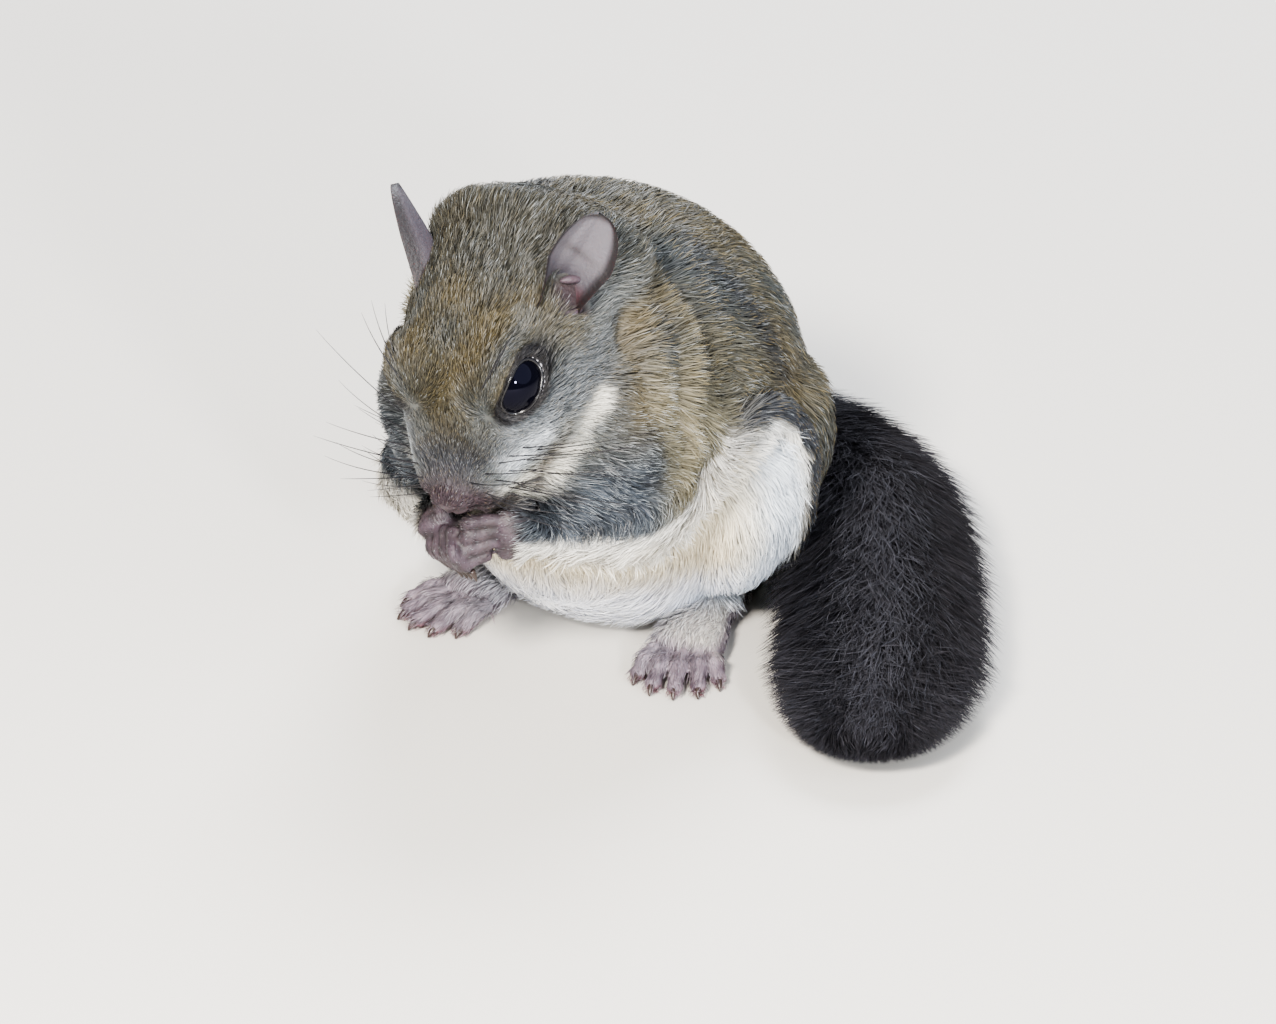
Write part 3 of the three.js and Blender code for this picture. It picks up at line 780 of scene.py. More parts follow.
def mouth_distance(local):
    """How far points of the head's frame lie from the line of the mouth."""
    y = np.linspace(MOUTH_Y[0], MOUTH_Y[-1], 40)
    line = np.column_stack([y, np.interp(y, MOUTH_Y, MOUTH_Z)])
    far = np.full(len(local), 9.0)
    near = np.flatnonzero((local[:, 1] < -6) & (local[:, 2] < 0))
    for spot in line:
        far[near] = np.minimum(far[near], away_from(spot, local[near, 1:]))
    return far


# The skin: all forms joined, smoothed and shaped

TORSO_FORM = torso_form()
SKULL = skull_form()
REGIONS = {
    "torso": TORSO_FORM,
    "neck": COLLAR,
    "head": SKULL,
}
for left, word in SIDES:
    REGIONS["upper_arm_" + word] = upper_arm(left)
    REGIONS["forearm_" + word] = forearm(left)
    REGIONS["thigh_" + word] = thigh(left)
    REGIONS["shank_" + word] = shank(left)
    REGIONS["flying_skin_" + word] = flying_skin(left)


def modified(name, mesh, kind, **settings):
    """The mesh after one modifier."""
    carrier = new_object(name, mesh)
    modifier = carrier.modifiers.new(kind, kind)
    for key, value in settings.items():
        setattr(modifier, key, value)
    graph = bpy.context.evaluated_depsgraph_get()
    result = bpy.data.meshes.new_from_object(carrier.evaluated_get(graph))
    bpy.data.objects.remove(carrier)
    return result


def mesh_points(mesh):
    """A mesh's vertices in the figure's frame."""
    flat = np.empty(len(mesh.vertices) * 3, np.float32)
    mesh.vertices.foreach_get("co", flat)
    return flat.reshape(-1, 3).astype(float) / MM - SHIFT


def edges_of(mesh):
    """The two ends of each edge."""
    flat = np.empty(len(mesh.edges) * 2, np.int32)
    mesh.edges.foreach_get("vertices", flat)
    return flat.reshape(-1, 2).T


def smoothed(mesh, points, rounds, share):
    """Each point moved a share of the way to the mean of its neighbours, rounds
    times, by summing over the edges."""
    a, b = edges_of(mesh)
    count = np.bincount(a, minlength=len(points)) + np.bincount(b, minlength=len(points))
    count = np.maximum(count, 1)[:, None]
    for _ in range(rounds):
        total = np.empty_like(points)
        for axis in range(points.shape[1]):
            column = points[:, axis]
            total[:, axis] = np.bincount(a, column[b], len(points))
            total[:, axis] += np.bincount(b, column[a], len(points))
        points = points + (total / count - points) * np.reshape(share, (-1, 1))
    return points


def triangles_of(mesh):
    """The mesh's triangles as rows of three vertices."""
    mesh.calc_loop_triangles()
    flat = np.empty(len(mesh.loop_triangles) * 3, np.int32)
    mesh.loop_triangles.foreach_get("vertices", flat)
    return flat.reshape(-1, 3)


def normals_of(points, triangles):
    """Normals at the vertices, from the triangles round each, weighted by area."""
    a, b, c = (points[triangles[:, i]] for i in range(3))
    face = np.cross(b - a, c - a)
    total = np.zeros_like(points)
    for corner in range(3):
        for axis in range(3):
            total[:, axis] += np.bincount(triangles[:, corner], face[:, axis], len(points))
    return unit(total)


# The edge of the flying skin in side view: along, and height; behind EDGE_REAR all
# of the coat is grey
EDGE_Y = [-60, -26, -22.8, -18.2, -14.9, -8.8, -4.9, 0.7, 4.5, 8, 9.6]
EDGE_Z = [30, 24.8, 24.9, 24.2, 26, 29, 33, 35, 34.3, 31.5, 27]
EDGE_REAR = 9.7


def over_edge(points):
    """How high a point lies over the edge of the flying skin, seen from the side."""
    return points[:, 2] - np.interp(points[:, 1], EDGE_Y, EDGE_Z)


RIM = [  # the middle of the puffy white edge of the flying skin along the arm
    (9.8, -26, 24.4),
    (15.9, -22.8, 24.4),
    (19.3, -18.2, 23.6),
    (21.9, -14.9, 25.6),
    (22.9, -8.8, 28.6),
    (24.3, -4.9, 33),
    (24.6, 0.5, 35.2),
]


RIM_HIGH = 0.9
RIM_GROOVE = 2.8  # from the middle of the rim to the groove under it


def both_sides(points):
    """Points with those of the right side mirrored to the left."""
    return np.column_stack([np.abs(points[:, 0] + 0.3), points[:, 1:]])


def path_distance(points, path):
    """How far points lie from a line through a few places."""
    nearest = np.full(len(points), 99.0)
    for spot in read(np.array(path, float), np.linspace(0, 1, 32)):
        nearest = np.minimum(nearest, away_from(spot, points))
    return nearest


def rim_bulge(points):
    """How far the rim stands out, less the groove of 1 mm that runs under it."""
    away = path_distance(both_sides(points), RIM)
    under = step(-over_edge(points), 0.5, 1.5)
    return RIM_HIGH * bell(away, 1.2) - bell(away - RIM_GROOVE, 0.8) * under


def skin_wave(points):
    """The folds of loose skin between neck and shoulder: 1 on a crest, -1 in a fold,
    a wave that runs back from the cheek and fades out on the back and the arm."""
    y = points[:, 1]
    z = points[:, 2]
    phase = (y + 16 - 0.3 * (z - 43)) * 2 * np.pi / FOLD_PITCH
    fade = step(y, -20, -15) * step(-y, -3, 6) * step(z, 32, 38) * step(-z, -60, -48)
    broken = 0.55 + 0.45 * ripple(points, 9, 6)
    return np.sin(phase + 1.9 * ripple(points, 17, 5)) * fade * np.clip(broken, 0, 1)


def bare_distance(points):
    """How far points lie from the hands, feet and nose, where the skin stays fine."""
    spots = [from_head([0, -16.5, -3.5])]
    reach = [6.5]
    for left in (1, -1):
        foot = FEET[left]
        toes = foot["ball"] + heading(foot["heading"]) * 5
        rim = read(np.array(FOLD, float), np.linspace(0, 0.5, 14))[:, :3] * [left, 1, 1]
        spots += [HANDS[left]["bend"], foot["ball"], toes, *rim]
        reach += [9, 7, 8] + [1.2] * len(rim)
    gaps = [away_from(spot, points) - size for spot, size in zip(spots, reach)]
    return np.min(gaps, axis=0)


FORM_ROWS = 40  # of each form's mesh, before all forms are joined
FORM_COLUMNS = 32
FINE_SMOOTHING = (4, 0.2)  # rounds and share, for the steps that the voxels leave
FURRED_ROUNDS = 130  # and for the creases between forms, where fur hides the skin
FURRED_SHARE = 0.62
FOLD_HIGH = 0.45  # how far a crest of loose skin stands out
SKIN_FLOOR = 0.02  # the skin ends this high over the floor


def make_skin():
    """All forms, each under its coat, joined by voxels, smoothed and shaped."""
    forms = [(form, -form["coat"]) for form in REGIONS.values()]
    forms.append((tail_core(), 0.0))
    for left in (1, -1):
        forms += [(form, 0.0) for form in hand_forms(left) + foot_forms(left)]
        forms += [(form, -1.6) for form in loose_skin(left)]
    forms += [(form, -0.2 - form["coat"]) for form in face_forms()]
    parts = [closed_form(form, grow, FORM_ROWS, FORM_COLUMNS) for form, grow in forms]
    points, *faces = joined(parts)
    points[:, 2] = np.maximum(points[:, 2], 0.0)
    mesh = new_mesh("skin", points, *faces)
    grain = {"mode": "VOXEL", "voxel_size": VOXEL * MM, "use_smooth_shade": True}
    mesh = modified("skin", mesh, "REMESH", **grain)
    points = mesh_points(mesh)
    furred = step(bare_distance(points), 0, 4)
    points = smoothed(mesh, points, *FINE_SMOOTHING)
    points = smoothed(mesh, points, FURRED_ROUNDS, FURRED_SHARE * furred)
    normals = normals_of(points, triangles_of(mesh))
    raised = FOLD_HIGH * skin_wave(points) + rim_bulge(points)
    points = points + normals * raised[:, None]
    points = shaped_face(points)
    points[:, 2] = np.maximum(points[:, 2], SKIN_FLOOR)
    mesh.vertices.foreach_set("co", packed(points))
    mesh.update()
    ratio = SKIN_TRIANGLES / (2 * len(mesh.polygons))
    mesh = modified("skin", mesh, "DECIMATE", ratio=min(ratio, 1.0))
    mesh.shade_smooth()
    return mesh


skin_mesh = make_skin()

# Camera: the photo's angle, far off with a long lens

CAMERA_AROUND = 32.0  # towards the animal's left
CAMERA_ABOVE = 28.0
CAMERA_AWAY = 1400.0
FRAME_WIDE = 172.4  # what the picture's width takes in
LOOKED_AT = np.array([9.35, -2.84, 18.85])


def camera_axes(around, above):
    """Right, up and towards the camera, for an angle round and above the floor."""
    a, e = np.radians([around, above])
    right = np.array([np.cos(a), np.sin(a), 0])
    up = np.array([-np.sin(a) * np.sin(e), np.cos(a) * np.sin(e), np.cos(e)])
    return right, up, np.cross(right, up)


def placed_at(name, data, at, axes):
    """A camera or light at a point of the figure's frame, turned to its axes."""
    thing = new_object(name, data)
    matrix = Matrix(np.array(axes).T.tolist()).to_4x4()
    matrix.translation = ((np.array(at) + SHIFT) * MM).tolist()
    thing.matrix_world = matrix
    return thing


def add_camera():
    """The camera looks along its own -Z, with the picture's width for the frame."""
    data = bpy.data.cameras.new("camera")
    data.sensor_width = 36.0
    data.lens = 36.0 * CAMERA_AWAY / FRAME_WIDE
    data.clip_start = 0.05
    data.clip_end = 20.0
    axes = camera_axes(CAMERA_AROUND, CAMERA_ABOVE)
    at = LOOKED_AT + axes[2] * CAMERA_AWAY
    bpy.context.scene.camera = placed_at("camera", data, at, axes)


def add_light(name, around, above, away, size, watts, colour):
    """A soft round light that faces the figure."""
    data = bpy.data.lights.new(name, "AREA")
    data.shape = "DISK"
    data.size = size * MM
    data.energy = watts
    data.color = tuple(linear(colour))
    axes = camera_axes(around, above)
    placed_at(name, data, LOOKED_AT + axes[2] * away, axes)


def add_stage():
    """A wide pale floor, and a pale sky that fills the shadows."""
    half = 4000.0  # mm from its middle to each edge
    corners = np.array([[-1, -1, 0], [1, -1, 0], [1, 1, 0], [-1, 1, 0]]) * half
    mesh = new_mesh("floor", corners, np.array([[0, 1, 2, 3]]))
    # uncoated paper: no gloss, so the floor shows only the shadow
    mesh.materials.append(plain_material("matt_paper", "#d9d6cf", roughness=0.9))
    new_object("floor", mesh)
    world = bpy.data.worlds.new("sky")
    world.use_nodes = True
    sky = world.node_tree.nodes["Background"]
    sky.inputs["Color"].default_value = rgba("#dfe3e8")
    sky.inputs["Strength"].default_value = 0.45
    bpy.context.scene.world = world


add_camera()
# degrees round and above, mm away and across, watts, colour
add_light("key", 12, 41, 700, 130, 10.5, "#fff8f0")
add_light("front", 50, 20, 700, 75, 4.5, "#ffffff")
add_light("fill", 84, 38, 1100, 1300, 7, "#e6eeff")
add_light("rim", 200, 45, 800, 400, 8, "#f4f7ff")
add_stage()
bpy.context.scene.view_settings.look = "AgX - Medium High Contrast"

# Where each point of the skin belongs, and how its hair lies

LAID_OUT = [("torso", TORSO_FORM), ("head", SKULL), ("neck", COLLAR), ("tail", tail_core())]
for left, word in SIDES:
    LAID_OUT += [("arm", REGIONS["upper_arm_" + word]), ("arm", REGIONS["forearm_" + word])]
    LAID_OUT += [("leg", REGIONS["thigh_" + word]), ("leg", REGIONS["shank_" + word])]
    LAID_OUT += [("fold", REGIONS["flying_skin_" + word]), ("arm", loose_skin(left)[1])]
    LAID_OUT += [("hand", form) for form in hand_forms(left)]
    LAID_OUT += [("foot", form) for form in foot_forms(left)]

HAIR = {  # depth of the coat, length and width of a tuft in mm, tufts per square mm
    "torso": (2.2, 5.2, 0.16, 9.5),
    "head": (0.85, 2.3, 0.11, 26.0),
    "neck": (1.9, 4.4, 0.155, 11.5),
    "tail": (0.5, 3.0, 0.3, 1.5),
    "arm": (1.4, 3.8, 0.13, 16.0),
    "leg": (1.7, 4.4, 0.16, 11.5),
    "fold": (0.8, 2.4, 0.14, 15.0),
    "hand": (0.1, 1.0, 0.08, 7.0),
    "foot": (0.25, 2.0, 0.1, 9.0),
}
GROUPS = list(HAIR)
HAIR_TABLE = np.array(list(HAIR.values()))


def share_of(fields, *groups):
    """How much of each point belongs to the named groups together."""
    return fields["weights"][:, [GROUPS.index(group) for group in groups]].sum(axis=1)


FIT_MARGIN = 9


def fit(form, points):
    """For each point its distance from a form in ring radii, and the share along it,
    the angle round it and the way the form runs there: those of the nearest of the
    form's rings. Points past FIT_MARGIN from the form are left at a distance of 99."""
    shares = np.linspace(0.02, 0.98, 24)
    middle, side, up, way, reaches = rings(form, shares)
    fade = fading(form, shares)[:, None]
    reaches = np.maximum(reaches * fade - form["coat"], 0.6)
    centre = middle.mean(axis=0)
    reach = away_from(centre, middle).max() + reaches.max() + FIT_MARGIN
    result = np.zeros((len(points), 6))
    result[:, 0] = 99
    near = np.flatnonzero(away_from(centre, points) < reach)
    for i, share in enumerate(shares):
        offset = points[near] - middle[i]
        wide, above, below = reaches[i]
        x = offset @ side[i] / wide
        y = offset @ up[i]
        y = y / np.where(y > 0, above, below)
        z = offset @ way[i] / (0.35 * (wide + above))
        distance = np.sqrt(x * x + y * y + z * z)
        closer = distance < result[near, 0]
        rows = near[closer]
        result[rows, 0] = distance[closer]
        result[rows, 1] = share
        result[rows, 2] = np.arctan2(y, x)[closer]
        result[rows, 3:] = way[i]
    return result


CELLS_WIDE = 12  # how many cells of the unwrap go across it, and up it
CELLS_HIGH = 8
CELL_EDGE = 0.03  # share of a cell that stays empty at each side


def unwrapped(cell, share, angle):
    """The place on the unwrap: torso and head take the upper half, each other form a
    cell of the lower half; across is the angle round the form, up the share along."""
    around = angle / (2 * np.pi) % 1
    inside = CELL_EDGE + (1 - 2 * CELL_EDGE) * np.stack([around, share], axis=1)
    small = cell - 2
    corner = [small % CELLS_WIDE / CELLS_WIDE, small // CELLS_WIDE / CELLS_HIGH]
    big = cell[:, None] < 2
    upper = np.stack([cell / 2, np.full(len(cell), 0.5)], axis=1)
    corner = np.where(big, upper, np.stack(corner, axis=1))
    return corner + inside * np.where(big, 0.5, [1 / CELLS_WIDE, 1 / CELLS_HIGH])


def deflected(flow, away, strength):
    """Flow that runs round an obstacle: the part that points at it is taken out."""
    into = np.minimum((flow * away).sum(axis=1), 0)
    return flow - away * (into * strength)[:, None]


def body_flow(points):
    """From the nape over the back and down the rump; the sides and front hang down."""
    out = unit(points - np.array([0, 5, 24.0]))
    over = np.cross([-1.0, 0, 0], out)
    back = step(points[:, 1], -22, -4)[:, None]
    return over * back * 1.1 + np.array([0, 0.22, -0.75])


def head_flow(points):
    """From the nose backwards, down over the cheeks, and round the eyes."""
    local = to_head(points)
    flow = np.zeros_like(points)
    flow[:, 1] = 1
    flow[:, 0] = 0.25 * np.sign(local[:, 0]) * step(np.abs(local[:, 0]), 1, 8)
    flow[:, 2] = -0.55 * step(np.abs(local[:, 0]), 6, 13) * step(-local[:, 2], -4, 2)
    flow = flow @ HEAD_TURN.T
    for left in (1, -1):
        eye = from_head(mirrored(EYE_AT, left))
        offset = points - eye
        strength = 1.15 * step(-away_from(0, offset), -10, -6)
        flow = deflected(flow, unit(offset), strength)
        offset = points - from_head(mirrored(EAR_ROOT, left))
        strength = 1.1 * step(-away_from(0, offset), -6.5, -4)
        flow = deflected(flow, unit(offset), strength)
    return flow


def lie_of_hair(points, weights, ways):
    """The way the hair runs: each group's own field, blended by the weights."""
    down = np.array([0, 0.25, -1.0])
    fields = {
        "torso": body_flow(points),
        "head": head_flow(points),
        "neck": body_flow(points) + 0.5 * head_flow(points),
        "tail": ways,
        "arm": unit(ways) + down * (0.9 * step(over_edge(points), 1, 7))[:, None],
        "leg": 0.3 * ways + down,
        "fold": 0.7 * unit(ways) + down,
        "hand": ways,
        "foot": ways,
    }
    flow = np.zeros_like(points)
    for column, group in enumerate(GROUPS):
        flow += unit(fields[group]) * weights[:, column : column + 1]
    return flow


def laid_flat(flow, normals):
    """Directions turned into the surface."""
    return unit(flow - normals * (flow * normals).sum(axis=1, keepdims=True))


BEND_LIMITS = (-0.12, 0.22)  # hair follows no sharper hollow or bulge, in 1/mm


def curving(mesh, points, normals, flow):
    """How fast the skin curves away along the hair, in 1/mm: the change of normal
    along each edge, fitted by least squares."""
    a, b = edges_of(mesh)
    change = normals[b] - normals[a]
    along = points[b] - points[a]
    top = np.zeros(len(points))
    bottom = np.full(len(points), 1e-6)
    for at in (a, b):
        run = (along * flow[at]).sum(axis=1)
        turn = (change * flow[at]).sum(axis=1)
        top += np.bincount(at, turn * run, len(points))
        bottom += np.bincount(at, run * run, len(points))
    return np.clip(top / bottom, *BEND_LIMITS)


def hollows(mesh, points, normals):
    """1 in the grooves of the skin and 0 where it bulges: how far the mean of the
    points about half a millimetre round lies outside each point."""
    around = smoothed(mesh, points, 5, 0.7)
    out = ((around - points) * normals).sum(axis=1)
    return step(out, 0.02, 0.1)


def skin_fields(mesh):
    """All that the coat needs to know at each vertex of the skin."""
    points = mesh_points(mesh)
    triangles = triangles_of(mesh)
    normals = normals_of(points, triangles)
    nearest = np.full((len(points), len(GROUPS)), 99.0)
    best = np.full(len(points), 99.0)
    place = np.zeros((len(points), 3))
    ways = np.zeros_like(points)
    for cell, (group, form) in enumerate(LAID_OUT):
        found = fit(form, points)
        column = GROUPS.index(group)
        nearest[:, column] = np.minimum(nearest[:, column], found[:, 0])
        closer = found[:, 0] < best
        best[closer] = found[closer, 0]
        place[closer, 0] = cell
        place[closer, 1:] = found[closer, 1:3]
        ways[closer] = found[closer, 3:]
    weights = np.exp(-7 * (nearest - best[:, None]))
    weights /= weights.sum(axis=1, keepdims=True)
    weights = smoothed(mesh, weights, 16, 0.6)
    hand, arm = GROUPS.index("hand"), GROUPS.index("arm")
    for left in (1, -1):
        wrist = np.array(WRIST[left])
        toward = unit(HANDS[left]["knuckles"] - wrist)
        behind = step(-(points - wrist) @ toward, -3.2, -0.8)
        near = away_from(wrist, points) < 9
        moved = weights[:, hand] * behind * near
        weights[:, arm] += moved
        weights[:, hand] -= moved
    flow = laid_flat(lie_of_hair(points, weights, ways), normals)
    for _ in range(4):
        flow = laid_flat(smoothed(mesh, flow, 6, 0.5), normals)
    bend = smoothed(mesh, curving(mesh, points, normals, flow)[:, None], 8, 0.5)
    furred = 0.6 * step(bare_distance(points), 0, 3)
    return {
        "points": points,
        "triangles": triangles,
        "normals": normals,
        "weights": weights,
        "flow": flow,
        "bend": bend,
        "hair": smoothed(mesh, weights @ HAIR_TABLE, 70, furred),
        "place": place,
        "hollow": hollows(mesh, points, normals),
    }


# Markings, the same on the skin and on the hair that grows from it


def above_edge(points):
    """How far a point lies outside the edge of the flying skin, seen from the side:
    negative under it, where the fur is white."""
    over = over_edge(points)
    outside = np.maximum(over, points[:, 1] - EDGE_REAR)
    chest = np.maximum(np.abs(points[:, 0]) - 12, points[:, 1] + 12)
    return np.minimum(outside, np.maximum(chest, points[:, 2] - 34))


BACK_STREAK = [(12, 5.5, 58), (17, 6.5, 53), (21, 9, 46), (24, 11, 38)]
SHOULDER_STREAK = [(4, -3, 63), (9, -1, 60), (14.5, 1, 56), (19, 2, 50)]
# the middle line of the painted shade between the arms, under the chin
SHADED_THROAT = [(2, -24, 37), (2.5, -24, 31), (3, -23, 25)]
UNDER_EYE = [(8.2, -13.6, -1.4), (9.2, -11, -0.9), (10.3, -8.6, -1.1)]  # in the head's frame
JAW_BAND = [(12.2, -5.5, -3.4), (11.3, -8.6, -4.1), (10.3, -11.3, -4.7), (9.1, -13.2, -6.8)]


def body_marks(points):
    """Back, flanks, legs and belly: olive grey above the edge of the flying skin,
    with painted light on the crests of loose skin and painted shade in its folds,
    painted shade in the groove under the rim, and white below it, painted lighter
    towards the floor."""
    side = both_sides(points)
    y = points[:, 1]
    wave = skin_wave(points)
    outside = above_edge(points) + 0.5 * ripple(points, 4, 9)
    colour = layered(
        mix("#524b38", "#414441", 0.5 + 0.5 * ripple(points, 16, 3)),
        ("#7d745a", np.clip(wave, 0, 1) * 0.8),  # painted light on the crests of loose skin
        ("#272c33", np.clip(-wave, 0, 1) * 0.85),  # and painted shade in the folds between them
        ("#22262d", 0.8 * bell(path_distance(side, BACK_STREAK), 2.4)),
        ("#33373c", 0.6 * bell(path_distance(side, SHOULDER_STREAK), 1.8)),
        ("#2e3138", 0.85 * bell(outside - 1.6, 1.7) * step(y, -9, -3)),  # over the edge
    )
    # painted shade: a darker line in the groove under the white rim of the flying skin
    crease = bell(path_distance(side, RIM) - RIM_GROOVE, 0.7) * step(-over_edge(points), 1, 2)
    # painted light: the cream turns whiter and bluer low on the belly, from 17 mm down to 7 mm
    cream = layered(
        mix("#d8cdb4", "#f4f6ff", step(-points[:, 2], -17, -7)),
        ("#d6e1ee", step(y, -4, 4) * 0.8),
        ("#8b8476", 0.6 * crease),
    )
    under = step(-outside, -0.4, 1.0)
    return mix(colour, cream, under), under


DARK_CORNERS = [  # angle round the eye, how narrow, and degrees added to the ring
    (-16, 8, 20),
    (165, 4, 18),
    (-150, 1.5, 13),
]


def eye_marks(points, colour, even):
    """Dark fur round the lids: 4 degrees wide, and each corner at an angle c adds
    most * e^((cos(around - c) - 1) * narrow). The tips of its hair are as dark as the
    rest, so it is as even as white fur."""
    for left in (1, -1):
        past, away, around = past_lids(points, left)
        wide = 4
        for at, narrow, most in DARK_CORNERS:
            wide = wide + most * np.exp((np.cos(around - np.radians(at)) - 1) * narrow)
        dark = step(-past / wide, -1.0, -0.5) * (away < EYE_RADIUS + 4)
        pale = bell(past - wide - 16, 14) * (away < EYE_RADIUS + 5)
        colour = mix(colour, "#62686c", 0.4 * pale)
        colour = mix(colour, "#15141a", 0.95 * dark)
        even = np.maximum(even, 0.85 * dark)
    return colour, even


def head_marks(points):
    """Warm olive brow, grey crown and muzzle, pale cheeks, and white below, with
    painted shade on the chin, along the mouth, in the nostrils and in the ear's hollow.
    """
    local = to_head(points)
    x = np.abs(local[:, 0])
    y = local[:, 1]
    z = local[:, 2]
    low = -(z + 0.16 * y)
    white = step(low, 4.2, 7.2) * step(x, 4.5, 7) * step(-y, 9, 13)
    side = np.column_stack([x, y, z])
    under = path_distance(side, UNDER_EYE) * (1 + 0.2 * ripple(points, 3, 25))
    patch = bell(under, 1.8)
    brown = path_distance(side, JAW_BAND) * (1 + 0.2 * ripple(points, 3, 26))
    band = 0.95 * bell(brown, 1.25)
    colour = layered(
        mix("#50462a", "#393a35", 0.5 + 0.5 * ripple(points, 9, 11)),
        ("#3a3b37", step(y, 1, 9) * 0.85),  # crown
        ("#3a3c41", step(-y, 11, 16)),  # muzzle
        ("#62676c", step(low, -5.5, -0.5) * step(x, 4, 9)),  # cheek
        ("#7c8282", step(low, 1.0, 4.5) * step(-y, 1, 7) * 0.9),
        ("#d2d0c6", white),  # lip
        ("#3a3336", step(low, 3.5, 6) * step(-x, -6.5, -4.5)),  # painted shade on the chin, under the mouth
        ("#d5dbe1", 0.95 * patch),  # under the eye
        ("#564c3d", band),  # along the jaw
        ("#3b2d34", step(-y, 15.5, 19.5) * step(z, -7.5, -5)),  # bare tip of the nose
    )
    white = np.maximum(white, 0.6 * patch) * (1 - band)
    colour, white = eye_marks(points, colour, white)
    # painted shade along the line of the mouth
    line = mouth_distance(local)
    colour = mix(colour, "#1a1416", bell(line, 0.5))
    for left in (1, -1):
        # painted shade in each nostril
        hole = away_from(nostril(left), local)
        colour = mix(colour, "#140e10", bell(hole, 0.75))
        behind = np.linalg.norm((local - mirrored([12.8, 11, 0.5], left)) / [1, 1.3, 1.2], axis=1)
        colour = mix(colour, "#8d9293", 0.7 * bell(behind, 4.2))
        notch = ear_notch(local, left)
        # painted shade in the bare hollow that opens into the ear
        colour = mix(colour, "#2a171f", bell(notch, 0.9, 4))
    return colour, white


def arm_marks(points):
    """Dark blue-grey, paler and browner towards the shoulder."""
    white = step(-over_edge(points), -2.4, -1.3)
    colour = layered(
        mix("#22272f", "#444c55", 0.5 + 0.5 * ripple(points, 5, 13)),
        ("#47443a", 0.7 * step(points[:, 2], 34, 42)),
        ("#7f7860", 0.85 * step(points[:, 1], -19.5, -12)),
        ("#dcdad4", white),  # along the edge of the flying skin
    )
    return colour, white


def fold_marks(points):
    """White along the arm, black over the knee and the back of the leg."""
    outside = above_edge(points)
    y = points[:, 1]
    rear = step(y, -9, 0)
    black = rear * step(outside, -0.6, 1.0)
    straw = (1 - rear) * step(outside, 1.4, 2.4) * 0.7
    colour = mix("#d6d3cb", "#2b2e35", black)
    return mix(colour, "#746949", straw), 1 - np.maximum(black, straw)


BUFF = [(18.2, -16.5, 41.8), (16.4, -16.1, 46.7), (14.5, -14, 50.4), (12.8, -9, 55)]
STRIPE = [
    (12.3, -28, 37.2),
    (13.5, -26, 39.6),
    (14.2, -23.9, 42.1),
    (14.8, -22.3, 44.4),
    (15.3, -20.9, 46.4),
]


def cheek_bands(points, colour, whiteness, share):
    """The white stripe behind the cheek and the straw-coloured band behind it."""
    side = both_sides(points)
    buff = path_distance(side, BUFF) * (1 + 0.25 * ripple(points, 5, 23))
    colour = mix(colour, "#776a4c", 0.6 * bell(buff, 2.3) * share)
    stripe = path_distance(side, STRIPE) * (1 + 0.2 * ripple(points, 4, 24))
    white = bell(stripe, 1.5, 4) * share
    return mix(colour, "#d6d3c8", white), np.maximum(whiteness, white)


def marks(points, fields):
    """Colour of the fur or skin at each point, and how even it is: the tips of even
    fur, such as white fur, keep its colour. The fields say what each point is part of."""
    plain = np.zeros(len(points))
    joint = 0.5 + 0.5 * ripple(points, 2.6, 15)
    hand = mix("#2a2129", "#473b45", joint)
    y, z = points[:, 1], points[:, 2]
    foot = layered(
        mix("#5b4f59", "#877a84", joint),
        ("#7a545d", step(-z, -1.6, -0.4)),  # sole
        ("#b5b0a8", step(y, -9.5, -5.5) * step(z, 2.6, 4.2)),  # hair on the instep
    )
    body, body_white = body_marks(points)
    found = {
        "torso": (body, body_white),
        "neck": (body, body_white),
        "leg": (body, body_white),
        "head": head_marks(points),
        "arm": arm_marks(points),
        "fold": fold_marks(points),
        "tail": (np.tile(linear("#17161a"), (len(points), 1)), plain),
        "hand": (hand, plain),
        "foot": (foot, plain),
    }
    colour = np.zeros_like(points)
    whiteness = np.zeros(len(points))
    for column, group in enumerate(GROUPS):
        share = fields["weights"][:, column]
        colour += found[group][0] * share[:, None]
        whiteness += found[group][1] * share
    body = 1 - share_of(fields, "hand", "foot")
    # painted shade on the throat and chest between the arms, under the head and the hands, where
    # the white is taken away
    throat = path_distance(points, SHADED_THROAT)
    dark = bell(throat, 6.5, 6) * body
    colour = mix(colour, "#37343a", 0.9 * dark)
    whiteness = whiteness * (1 - dark)
    return cheek_bands(points, colour, whiteness, body)


# The coat: flat tapered tufts that root in the skin and lie along it

BLADE_AT = np.array([0.0, 0.34, 0.7, 1.0])  # shares of the length
BLADE_WIDE = np.array([0.7, 1.0, 0.75])  # shares of the width, before the tip
LONG_HAIR = ([0, 1, 2, 3], 38000)  # stations of a blade, and the most blades in a piece
SHORT_HAIR = ([0, 2, 3], 62000)
COAT_SLOTS = {
    "back_fur": LONG_HAIR,
    "white_fur": LONG_HAIR,
    "head_fur": SHORT_HAIR,
    "arm_fur": LONG_HAIR,
    "tail_fur": LONG_HAIR,
    "bare_skin": SHORT_HAIR,
}
GROUP_SLOTS = {
    "head": "head_fur",
    "arm": "arm_fur",
    "hand": "bare_skin",
    "foot": "bare_skin",
    "tail": "tail_fur",
}
QUICK_SHARE = 1.0
QUICK_WIDE = 1
PATCH = 0.003  # a tuft's place on the unwrap, across
HAIR_FLOOR = 0.03  # no blade goes lower
LONG_BY_CHANCE = (0.75, 1.15)
DEEP_BY_CHANCE = (0.55, 1.0)
WIDE_BY_CHANCE = (0.8, 1.2)
SWAY = 16  # degrees to either side that neighbouring tufts lean together
STRAY = 9  # and each by itself
ROLL = 50  # degrees that a blade is turned about its length, at most
ROOT_SUNK = 0.08
STRAW_TIPS = 0.24  # shares of the tufts by the colour of their tips
SILVER_FROM = 0.86
BLACK_FROM = 0.58


